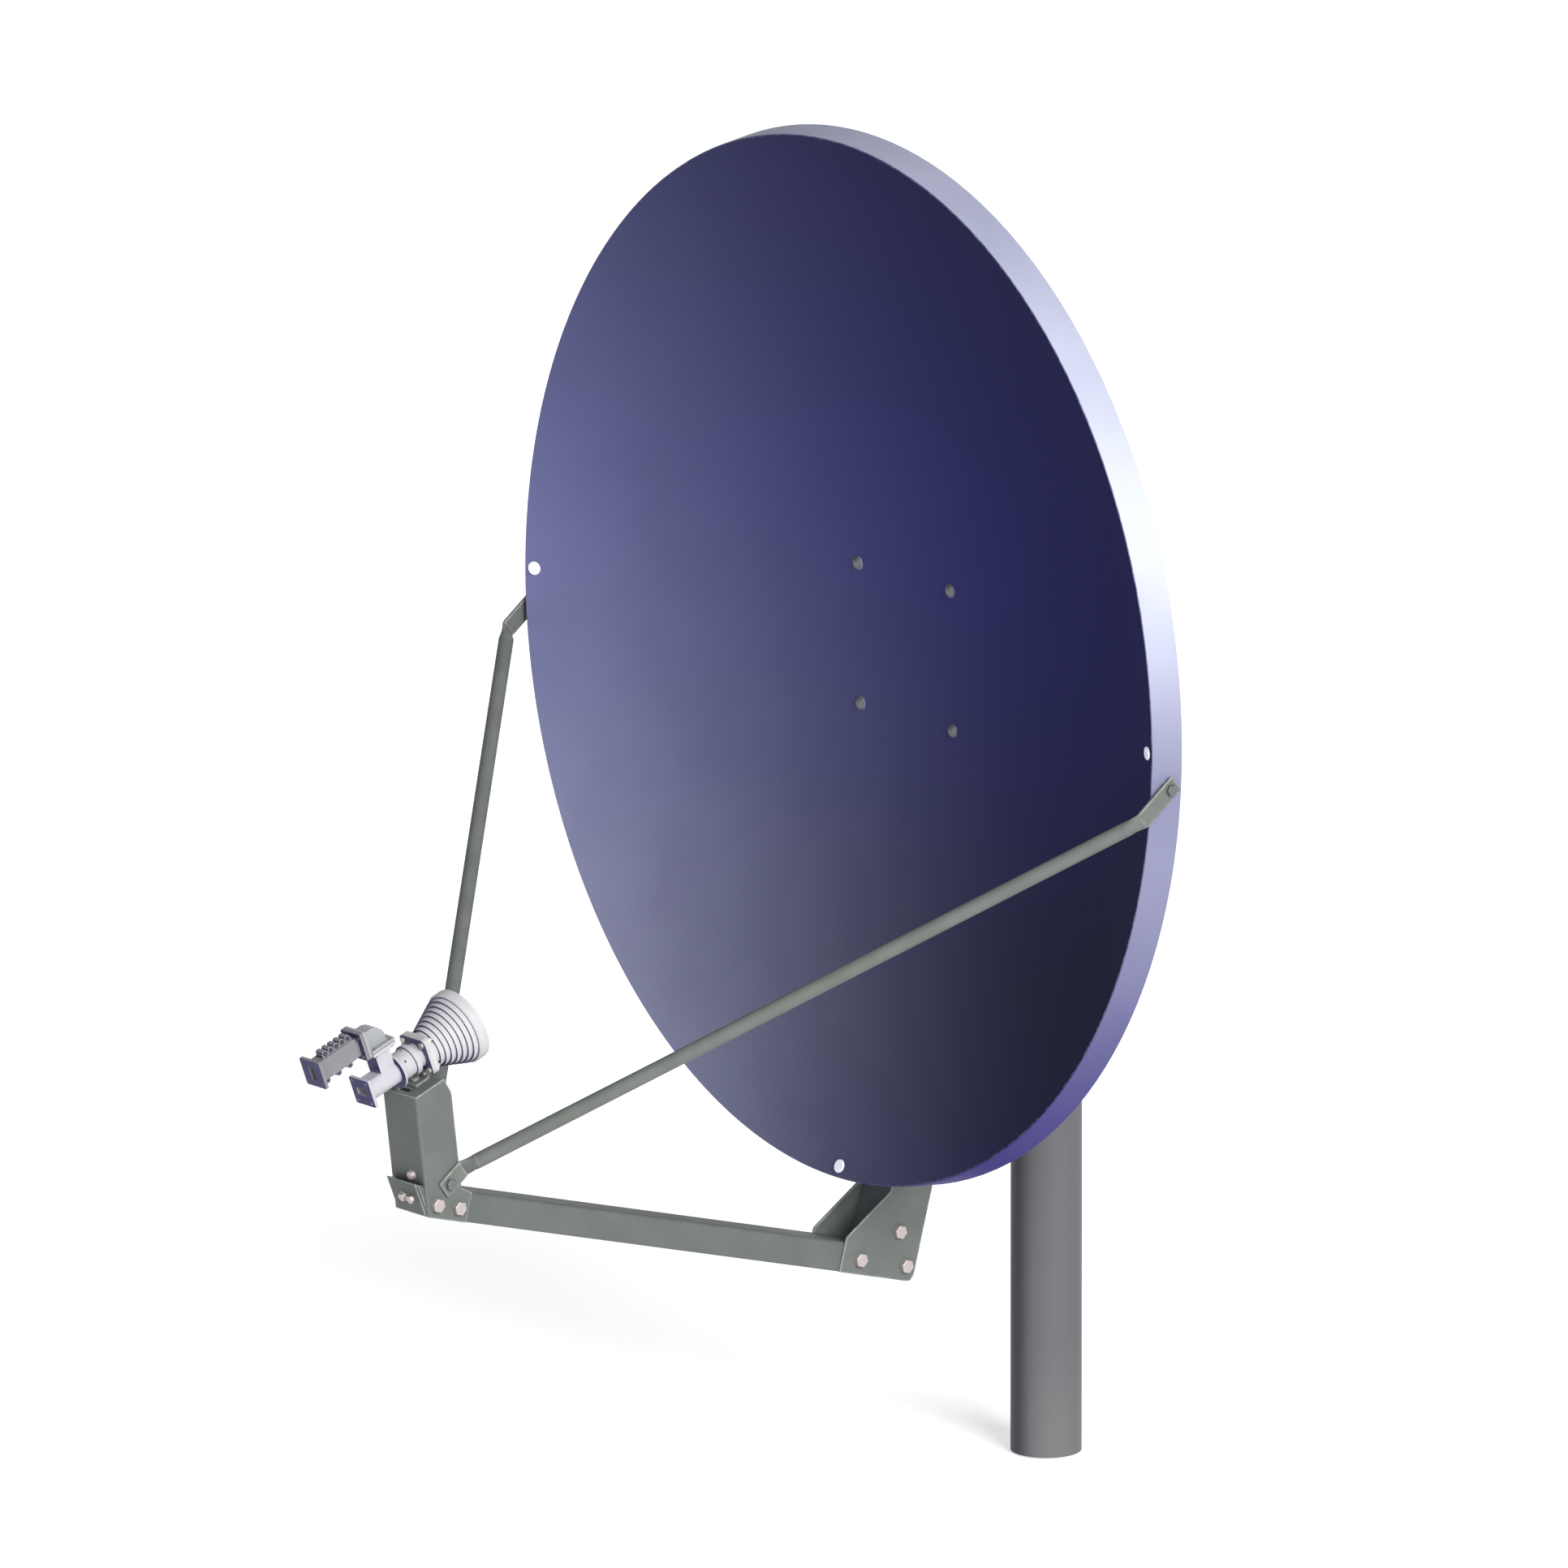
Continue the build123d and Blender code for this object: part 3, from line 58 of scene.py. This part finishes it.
class Link:
    """One output socket, with the arithmetic that a material needs."""

    def __init__(self, finish, socket):
        self.finish = finish
        self.socket = socket

    def calc(self, operation, *values):
        settings = {"operation": operation}
        return self.finish.add("ShaderNodeMath", settings, dict(enumerate(values)))

    def __add__(self, other):
        return self.calc("ADD", self, other)

    def __sub__(self, other):
        return self.calc("SUBTRACT", self, other)

    def __rsub__(self, other):
        return self.calc("SUBTRACT", other, self)

    def __mul__(self, other):
        return self.calc("MULTIPLY", self, other)

    def __truediv__(self, other):
        return self.calc("DIVIDE", self, other)

    def __rtruediv__(self, other):
        return self.calc("DIVIDE", other, self)

    def __pow__(self, other):
        return self.calc("POWER", self, other)

    def __rpow__(self, other):
        return self.calc("POWER", other, self)

    __radd__ = __add__
    __rmul__ = __mul__

    def over(self, low, high):
        """0 below low and 1 above high, with a smooth step between."""
        values = {0: self, 1: low, 2: high}
        return self.finish.add("ShaderNodeMapRange", {"interpolation_type": "SMOOTHSTEP"}, values)


class Finish:
    """One material: a Principled surface and the nodes that shape it."""

    def __init__(self, name, roughness, metallic=0.0, coat=0.0, alpha=1.0, gloss=0.22):
        self.material = bpy.data.materials.new(name)
        self.material.use_nodes = True
        self.tree = self.material.node_tree
        self.surface = self.tree.nodes["Principled BSDF"]
        self.put("Roughness", roughness)
        self.put("Metallic", metallic)
        self.put("Coat Weight", coat)
        self.put("Alpha", alpha)
        self.put("Specular IOR Level", gloss)
        self.place = self.add("ShaderNodeTexCoord", {}, {}, "Object")

    def add(self, kind, settings, values, out=0):
        node = self.tree.nodes.new(kind)
        for key, value in settings.items():
            setattr(node, key, value)
        for key, value in values.items():
            self.wire(node.inputs[key], value)
        return Link(self, node.outputs[out])

    def wire(self, socket, value):
        if isinstance(value, Link):
            self.tree.links.new(value.socket, socket)
        else:
            socket.default_value = value

    def put(self, name, value):
        self.wire(self.surface.inputs[name], value)

    def mix(self, factor, first, second):
        first, second = [v if isinstance(v, Link) else (*v, 1.0) for v in (first, second)]
        return self.add("ShaderNodeMix", {"data_type": "RGBA"}, {0: factor, 6: first, 7: second}, 2)

    def scaled(self, colour, factor):
        return self.add("ShaderNodeVectorMath", {"operation": "SCALE"}, {0: colour, "Scale": factor})

    def noise(self, size, detail=4.0, stretch=(1, 1, 1)):
        where = self.add("ShaderNodeMapping", {}, {0: self.place, 3: stretch})
        return self.add("ShaderNodeTexNoise", {}, {"Vector": where, "Scale": 1 / size, "Detail": detail})

    def part(self, vector, axis):
        return self.add("ShaderNodeSeparateXYZ", {}, {0: vector}, axis)

    def facing(self, way):
        """How squarely the surface faces a fixed way, from -1 to 1."""
        normal = self.add("ShaderNodeTexCoord", {}, {}, "Normal")
        return self.add("ShaderNodeVectorMath", {"operation": "DOT_PRODUCT"}, {0: normal, 1: way}, "Value")

    def edges(self, radius):
        """1 on sharp edges and 0 on flat ground; also keeps the rounded normal for the relief."""
        self.soft = self.add("ShaderNodeBevel", {"samples": 6}, {"Radius": radius})
        sharp = self.add("ShaderNodeNewGeometry", {}, {}, "Normal")
        values = {0: self.soft, 1: sharp}
        same = self.add("ShaderNodeVectorMath", {"operation": "DOT_PRODUCT"}, values, "Value")
        return (1 - same).over(0.008, 0.16)

    def relief(self, height, depth, strength=1.0):
        values = {"Height": height, "Distance": depth, "Strength": strength}
        if hasattr(self, "soft"):
            values["Normal"] = self.soft
        self.put("Normal", self.add("ShaderNodeBump", {}, values))


def wear(finish, *nodes):
    """Gives CAD nodes a finish."""
    for node in nodes:
        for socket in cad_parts[node].material_slots:
            socket.material = finish.material


dish_low, dish_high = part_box("reflector")
dish_mid = (dish_low + dish_high) / 2
dish_half = (dish_high - dish_low) / 2

lacquer = Finish("indigo_lacquer", 0.5, gloss=0.03)
across = (lacquer.part(lacquer.place, "X") - dish_mid.x) / dish_half.x
height = (lacquer.part(lacquer.place, "Z") - dish_mid.z) / dish_half.z
front = lacquer.facing((0, -1, 0)).over(0.5, 0.8)
# Painted shade on the bowl's face: darker towards +X and upwards, and bluer towards the top.
painted_shade_across = (across * 0.85 - height * 0.05).over(-1.0, 0.75)
painted_near_light = lacquer.mix(height.over(-0.9, 0.5), (0.088, 0.092, 0.132), (0.096, 0.102, 0.215))
painted_far_shade = lacquer.mix(height.over(-0.6, 0.5), (0.009, 0.010, 0.036), (0.019, 0.02, 0.21))
painted_shade_scale = e ** (-0.27 - across * 0.6 - height * 0.95)
face_tone = lacquer.scaled(lacquer.mix(painted_shade_across, painted_near_light, painted_far_shade), painted_shade_scale)
# Painted shade on the rim band, darker and bluer towards its bottom, and a painted highlight above its
# middle.
band_painted_shade = lacquer.mix(height.over(-0.95, -0.2), (0.034, 0.026, 0.17), (0.185, 0.19, 0.29))
painted_sheen = height.over(-0.1, 0.42) * (1 - height.over(0.45, 0.95) * 0.6)
band_tone = lacquer.mix(painted_sheen, band_painted_shade, (0.48, 0.505, 0.62))
peel = lacquer.noise(0.004, 2)
cloud = lacquer.noise(0.12, 5)
rear = lacquer.facing((0, 1, 0)).over(0.4, 0.8)
outside_tone = lacquer.mix(rear, band_tone, (0.20, 0.21, 0.31))
tone = lacquer.mix(front, outside_tone, face_tone)
tone = lacquer.mix(cloud.over(0.3, 0.8) * 0.12, tone, (0.03, 0.03, 0.09))
chipped = lacquer.edges(0.0015) * lacquer.noise(0.006, 6).over(0.45, 0.6)
lacquer.put("Base Color", lacquer.mix(chipped * 0.5, tone, (0.45, 0.47, 0.6)))
lacquer.put("Roughness", 0.42 + cloud * 0.14)
lacquer.relief(peel, 0.00006, 0.5)
wear(lacquer, "reflector")

# ---------------------------------------------------------------- rim plugs
# Three white plastic plugs close the spare holes near the rim. Each is a low domed head on a
# short stem that is pressed in, with a faint speckle in the plastic.
plug_white = Finish("plug_white", 0.4)
speck = plug_white.noise(0.0012, 4)
plug_white.put("Base Color", plug_white.mix(speck * 0.4, (0.85, 0.85, 0.95), (0.72, 0.72, 0.85)))
plug_white.put("Roughness", 0.32 + speck * 0.2)
plug_white.relief(speck, 0.00005, 0.5)
wear(plug_white, "rim_plugs")

# ---------------------------------------------------------------- mast
# A three-inch steel pipe, powder-coated in mid grey and cut square at its foot. The side turned
# to -X and -Y has a darker tone in its colour, which stands for shade.
mast_coat = Finish("mast_coat", 0.5)
grain = mast_coat.noise(0.0016, 3)
streak = mast_coat.noise(0.05, 5, (1.0, 1.0, 0.12))
mast_tone = mast_coat.mix(streak * 0.7, (0.082, 0.082, 0.092), (0.105, 0.105, 0.112))
foot_dust = (0.16 - mast_coat.part(mast_coat.place, "Z")).over(0.0, 0.16) * streak
mast_tone = mast_coat.mix(foot_dust * 0.5, mast_tone, (0.15, 0.145, 0.14))
shaded = mast_coat.facing((-0.8, -0.6, 0)).over(0.1, 0.75)
mast_tone = mast_coat.mix(shaded * 0.85, mast_tone, (0.022, 0.02, 0.034))
worn = mast_coat.edges(0.0015) * 0.5
mast_coat.put("Base Color", mast_coat.mix(worn, mast_tone, (0.22, 0.22, 0.24)))
mast_coat.put("Roughness", 0.42 + streak * 0.16)
mast_coat.relief(grain, 0.00008, 0.45)
wear(mast_coat, "mast_pipe")

bearing_black = Finish("bearing_black", 0.45)
rub = bearing_black.noise(0.004, 4, (1, 1, 4))
bearing_black.put("Base Color", bearing_black.mix(rub, (0.018, 0.018, 0.02), (0.05, 0.05, 0.052)))
bearing_black.put("Roughness", 0.35 + rub * 0.25)
bearing_black.relief(rub, 0.0001, 0.4)
wear(bearing_black, "mast_thrust_disc", "boom_end_cap")

# ---------------------------------------------------------------- steel brackets and channel
# Laser-cut and folded 3 and 4 mm steel sheet, welded, then powder-coated grey.
# The folds carry a painted highlight as pale lines, and the coat is rubbed through in patches along them.


def powder_coat(name, low, high, pale, grain_size):
    coat = Finish(name, 0.5)
    fine = coat.noise(grain_size, 3)
    patch = coat.noise(0.045, 5)
    ground = coat.mix(patch.over(0.35, 0.68), low, high)
    # Painted highlight: every fold is paler along its whole length; the noise below adds rubbed wear in
    # patches on the folds.
    fold_highlight_and_wear = coat.edges(0.0042)
    rubbed = fold_highlight_and_wear * coat.noise(0.012, 4).over(0.3, 0.6)
    coat.put("Base Color", coat.mix(fold_highlight_and_wear * 0.35 + rubbed * 0.4, ground, pale))
    coat.put("Roughness", 0.46 + patch * 0.16 - fold_highlight_and_wear * 0.1)
    coat.relief(fine, 0.0001, 0.45)
    return coat


bracket_coat = powder_coat("bracket_coat", (0.096, 0.107, 0.102), (0.108, 0.119, 0.114),
                           (0.42, 0.45, 0.46), 0.0014)
wear(bracket_coat, "azimuth_canister", "azimuth_yoke", "reflector_bracket", "back_spine",
     "gusset_left", "gusset_right", "feed_bracket", "feed_clamp_angle")

# ---------------------------------------------------------------- weld beads
# Hand-laid fillet welds, a row of overlapping ripples, join the tilting bracket's cheeks to its
# plate; they are under the same grey coat.
weld_coat = powder_coat("weld_coat", (0.08, 0.09, 0.086), (0.105, 0.115, 0.11), (0.2, 0.21, 0.21), 0.0011)


class Tree:
    """A Geometry Nodes group, built node by node."""

    def __init__(self, name, *sizes):
        self.tree = bpy.data.node_groups.new(name, "GeometryNodeTree")
        self.tree.interface.new_socket("Geometry", in_out="INPUT", socket_type="NodeSocketGeometry")
        for size in sizes:
            self.tree.interface.new_socket(size, in_out="INPUT", socket_type="NodeSocketFloat")
        self.tree.interface.new_socket("Geometry", in_out="OUTPUT", socket_type="NodeSocketGeometry")
        self.given = self.tree.nodes.new("NodeGroupInput")

    def add(self, kind, settings, values, out=0):
        node = self.tree.nodes.new(kind)
        for key, value in settings.items():
            setattr(node, key, value)
        for key, value in values.items():
            if hasattr(value, "is_linked"):
                self.tree.links.new(value, node.inputs[key])
            else:
                node.inputs[key].default_value = value
        return node.outputs[out]

    def close(self, geometry, material):
        real = self.add("GeometryNodeRealizeInstances", {}, {0: geometry})
        done = self.add("GeometryNodeSetMaterial", {}, {0: real, "Material": material})
        self.tree.links.new(done, self.tree.nodes.new("NodeGroupOutput").inputs[0])


def baked(name, tree, base, body, slot_name, **sizes):
    """Runs a tree on a base mesh, keeps the plain mesh that it gives, and hangs it on a body."""
    carrier = bpy.data.objects.new(name + "_base", base)
    bpy.context.scene.collection.objects.link(carrier)
    work = carrier.modifiers.new("nodes", "NODES")
    work.node_group = tree
    for item in tree.interface.items_tree:
        if item.item_type == "SOCKET" and item.in_out == "INPUT" and item.name in sizes:
            work[item.identifier] = sizes[item.name]
    graph = bpy.context.evaluated_depsgraph_get()
    mesh = bpy.data.meshes.new_from_object(carrier.evaluated_get(graph))
    bpy.data.objects.remove(carrier)
    piece = bpy.data.objects.new(name, mesh)
    bpy.context.scene.collection.objects.link(piece)
    mesh.shade_smooth()
    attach(piece, body)
    return piece


def path_mesh(name, *runs):
    """Edges only: one chain of points for each run."""
    mesh = bpy.data.meshes.new(name)
    points = [point for run in runs for point in run]
    edges = []
    start = 0
    for run in runs:
        edges += [(start + i, start + i + 1) for i in range(len(run) - 1)]
        start += len(run)
    mesh.from_pydata(points, edges, [])
    return mesh


bead = Tree("bead_run", "Pitch", "Bead")
line = bead.add("GeometryNodeMeshToCurve", {}, {0: bead.given.outputs[0]})
spacing = {"Curve": line, "Length": bead.given.outputs["Pitch"]}
dots = bead.add("GeometryNodeResampleCurve", {"mode": "LENGTH"}, spacing)
drop = bead.add("GeometryNodeMeshIcoSphere", {}, {"Radius": bead.given.outputs["Bead"], "Subdivisions": 2})
wander = bead.add("FunctionNodeRandomValue", {"data_type": "FLOAT"}, {2: 0.85, 3: 1.1, "Seed": 4}, 1)
run = bead.add("GeometryNodeInstanceOnPoints", {}, {"Points": dots, "Instance": drop, "Scale": wander})
bead.close(run, weld_coat.material)

weld_reach = 0.105
plate_past_nuts = 0.004
cheek_past_yoke = 0.0045
plate_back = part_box("centre_nuts")[0].y + plate_past_nuts
cheek_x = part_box("azimuth_yoke")[1].x + cheek_past_yoke
weld_ends = (dish_mid.z - weld_reach, dish_mid.z + weld_reach)
cheek_runs = [[(side * cheek_x, plate_back, z) for z in weld_ends] for side in (-1, 1)]
baked("bracket_welds", bead.tree, path_mesh("cheek_lines", *cheek_runs), "dish", "bracket_paint",
      Pitch=0.0028, Bead=0.0032)

# ---------------------------------------------------------------- feed boom
# A 60 by 38 mm rectangular steel tube with a slanted front lip, under the same kind of grey
# powder coat as the brackets, a little darker. It is bolted between the gussets.
boom_coat = powder_coat("boom_coat", (0.086, 0.096, 0.092), (0.096, 0.106, 0.102), (0.4, 0.43, 0.4), 0.0013)
wear(boom_coat, "feed_boom")

# ---------------------------------------------------------------- side struts
# Two thin round steel tubes with both ends pressed flat and bent, bolted to the rim and to the
# feed bracket. They have a slightly paler grey powder coat.
strut_coat = powder_coat("strut_coat", (0.108, 0.118, 0.11), (0.124, 0.134, 0.126),
                         (0.42, 0.44, 0.42), 0.0012)
wear(strut_coat, "strut_left", "strut_right")

# ---------------------------------------------------------------- bolts and nuts
# Hexagon bolts and nuts in bright zinc with a faint warm bloom and fine scratches, and a duller
# steel for the bolts of the dish and of the struts.
zinc = Finish("bright_zinc", 0.35, metallic=0.6, gloss=0.4)
bloom = zinc.noise(0.004, 5)
scratch = zinc.noise(0.0012, 5, (1, 5, 1))
bolt_edge = zinc.edges(0.0006)
zinc_tone = zinc.mix(bloom, (0.50, 0.43, 0.42), (0.38, 0.35, 0.35))
zinc.put("Base Color", zinc.mix(bolt_edge * 0.5, zinc_tone, (0.75, 0.72, 0.72)))
zinc.put("Roughness", 0.26 + scratch * 0.3)
zinc.relief(scratch, 0.00006, 0.5)
wear(zinc, "azimuth_lock_bolts", "elevation_pivot_bolt", "elevation_pivot_nut", "elevation_lock_bolt",
     "elevation_lock_nut", "centre_nuts", "arm_bolts", "gusset_boom_bolts", "gusset_spine_bolts", "lip_bolt",
     "lip_stud", "bracket_side_bolts", "bracket_web_bolt", "feed_clamp_bolt", "feed_clamp_screws",
     "horn_flange_bolts")

steel_dull = Finish("passivated_steel", 0.4, metallic=0.5)
film = steel_dull.noise(0.003, 5)
dull_edge = steel_dull.edges(0.0006)
dull_tone = steel_dull.mix(film, (0.1, 0.105, 0.11), (0.18, 0.185, 0.19))
steel_dull.put("Base Color", steel_dull.mix(dull_edge * 0.4, dull_tone, (0.5, 0.5, 0.55)))
steel_dull.put("Roughness", 0.3 + film * 0.25)
steel_dull.relief(film, 0.00005, 0.4)
wear(steel_dull, "centre_bolts", "strut_rim_bolts", "strut_foot_bolts")

# ---------------------------------------------------------------- feed castings
# Machined and cast aluminium waveguide parts in white enamel. The faces turned square to the
# feed axis, away from the dish, carry a painted shade of deep blue in their colour.
feed_lean = radians(21)
rearward = (0, -cos(feed_lean), -sin(feed_lean))


def enamel(name, pale, shade, blue, grain_size):
    coat = Finish(name, 0.4, coat=0.03, gloss=0.15)
    fine = coat.noise(grain_size, 4)
    patch = coat.noise(0.014, 4)
    ground = coat.mix(patch, pale, shade)
    # Painted shade: the faces turned to the rear along the feed axis take a deep blue tone.
    rear = coat.facing(rearward).over(0.75, 0.92)
    edge = coat.edges(0.0008)
    rear_shaded = coat.mix(rear * blue, ground, (0.012, 0.008, 0.085))
    coat.put("Base Color", coat.mix(edge * 0.55, rear_shaded, (0.6, 0.6, 0.66)))
    coat.put("Roughness", 0.36 + patch * 0.2)
    coat.relief(fine, 0.00005, 0.5)
    return coat


horn_enamel = enamel("horn_enamel", (0.46, 0.47, 0.48), (0.39, 0.395, 0.41), 0.9, 0.0009)
wear(horn_enamel, "feed_horn")
polariser_enamel = enamel("polariser_enamel", (0.42, 0.425, 0.44), (0.35, 0.355, 0.38), 0.85, 0.0009)
wear(polariser_enamel, "polariser")
omt_enamel = enamel("omt_enamel", (0.41, 0.415, 0.44), (0.34, 0.345, 0.38), 0.95, 0.001)
wear(omt_enamel, "omt_body")
bend_enamel = enamel("bend_enamel", (0.29, 0.30, 0.31), (0.24, 0.25, 0.265), 0.85, 0.001)
wear(bend_enamel, "rx_bend")
filter_enamel = enamel("filter_enamel", (0.19, 0.19, 0.2), (0.15, 0.15, 0.165), 0.85, 0.0011)
wear(filter_enamel, "rx_filter_right", "rx_filter_left")

# ---------------------------------------------------------------- small screws, window and gaskets
# Black-oxide screws hold the waveguide parts together. A thin woven laminate closes the horn
# mouth, and thin rubber gaskets lie between the flanges.
black_oxide = Finish("black_oxide", 0.4, metallic=0.4)
oxide = black_oxide.noise(0.0015, 4)
black_oxide.put("Base Color", black_oxide.mix(oxide, (0.03, 0.028, 0.04), (0.11, 0.1, 0.13)))
black_oxide.put("Roughness", 0.3 + oxide * 0.25)
black_oxide.relief(oxide, 0.00004, 0.5)
wear(black_oxide, "polariser_set_screws", "filter_screws", "flange_screws")

laminate = Finish("window_laminate", 0.5)
thread_scale = {"Vector": laminate.place, "Scale": 320}
weave = laminate.add("ShaderNodeTexWave", {"bands_direction": "X"}, thread_scale)
cross_weave = laminate.add("ShaderNodeTexWave", {"bands_direction": "Z"}, thread_scale)
threads = weave * 0.5 + cross_weave * 0.5
laminate.put("Base Color", laminate.mix(threads * 0.5, (0.72, 0.7, 0.66), (0.6, 0.58, 0.55)))
laminate.put("Roughness", 0.42 + threads * 0.15)
laminate.relief(threads, 0.00008, 0.5)
wear(laminate, "horn_window")

rubber = Finish("gasket_rubber", 0.8)
dust = rubber.noise(0.0012, 4)
rubber.put("Base Color", rubber.mix(dust, (0.02, 0.02, 0.02), (0.06, 0.06, 0.06)))
rubber.put("Roughness", 0.7 + dust * 0.2)
rubber.relief(dust, 0.00005, 0.4)
wear(rubber, "flange_gaskets")

# ---------------------------------------------------------------- studio
# A pale seamless floor, one large soft key from the object's right, two weak fills and a cool weak
# surround, with a white backdrop behind the object.
floor_half = 60.0
floor_z = cad_low.z - 0.002
corners = [(x * floor_half, y * floor_half, floor_z) for x, y in ((-1, -1), (1, -1), (1, 1), (-1, 1))]
floor_mesh = bpy.data.meshes.new("studio_floor")
floor_mesh.from_pydata(corners, [], [(0, 1, 2, 3)])
floor = bpy.data.objects.new("studio_floor", floor_mesh)
bpy.context.scene.collection.objects.link(floor)
paper = Finish("studio_paper", 0.9)
paper.put("Base Color", (0.72, 0.72, 0.72, 1.0))
paper.put("Emission Color", (1.0, 1.0, 1.0, 1.0))
paper.put("Emission Strength", 0.55)
floor_mesh.materials.append(paper.material)


def sun(name, towards, power, spread, colour):
    lamp = bpy.data.lights.new(name, "SUN")
    lamp.energy = power
    lamp.angle = radians(spread)
    lamp.color = colour
    holder = bpy.data.objects.new(name, lamp)
    bpy.context.scene.collection.objects.link(holder)
    holder.rotation_mode = "QUATERNION"
    holder.rotation_quaternion = Vector(towards).to_track_quat("Z", "Y")
    holder.location = Vector(towards) * 4


sun("key", (0.87, -0.145, 0.47), 4.8, 34, (1.0, 0.99, 0.97))
sun("front_fill", (0.3, -1.0, 0.35), 0.8, 50, (0.95, 0.96, 1.0))
sun("back_fill", (-0.7, 1.0, 0.5), 1.0, 60, (0.95, 0.96, 1.0))

world = bpy.data.worlds.new("studio_surround")
bpy.context.scene.world = world
world.use_nodes = True
world_nodes, world_links = world.node_tree.nodes, world.node_tree.links
surround = world_nodes["Background"]
surround.inputs["Color"].default_value = (0.80, 0.82, 0.95, 1.0)
surround.inputs["Strength"].default_value = 0.07
backdrop = world_nodes.new("ShaderNodeBackground")
backdrop.inputs["Strength"].default_value = 1.0
backdrop.inputs["Color"].default_value = (1.0, 1.0, 1.0, 1.0)
seen = world_nodes.new("ShaderNodeLightPath")
either = world_nodes.new("ShaderNodeMixShader")
world_links.new(seen.outputs["Is Camera Ray"], either.inputs[0])
world_links.new(surround.outputs[0], either.inputs[1])
world_links.new(backdrop.outputs[0], either.inputs[2])
world_links.new(either.outputs[0], world_nodes["World Output"].inputs[0])
bpy.context.scene.view_settings.view_transform = "Standard"

# ---------------------------------------------------------------- camera
# A very long lens from far off, so that lines that run together in space stay almost parallel.
# It is aimed a little to the left of the rim's centre and below it.
eye_turn, eye_rise = radians(50.52), radians(14.52)
back = Vector((sin(eye_turn) * cos(eye_rise), -cos(eye_turn) * cos(eye_rise), sin(eye_rise)))
right = Vector((cos(eye_turn), sin(eye_turn), 0))
up = back.cross(right)
rim_centre = Vector((0, -0.3387, 1.0673))
aim = rim_centre - right * 0.0646 - up * 0.1523
lens = 1600.0
sensor = 36.0
view_width = 1.940
distance = view_width * lens / sensor
camera_data = bpy.data.cameras.new("camera")
camera_data.lens = lens
camera_data.sensor_width = sensor
camera_data.clip_start = 1.0
camera_data.clip_end = 400.0
camera = bpy.data.objects.new("camera", camera_data)
bpy.context.scene.collection.objects.link(camera)
camera.location = aim + back * distance
camera.rotation_mode = "QUATERNION"
camera.rotation_quaternion = back.to_track_quat("Z", "Y")
bpy.context.scene.camera = camera
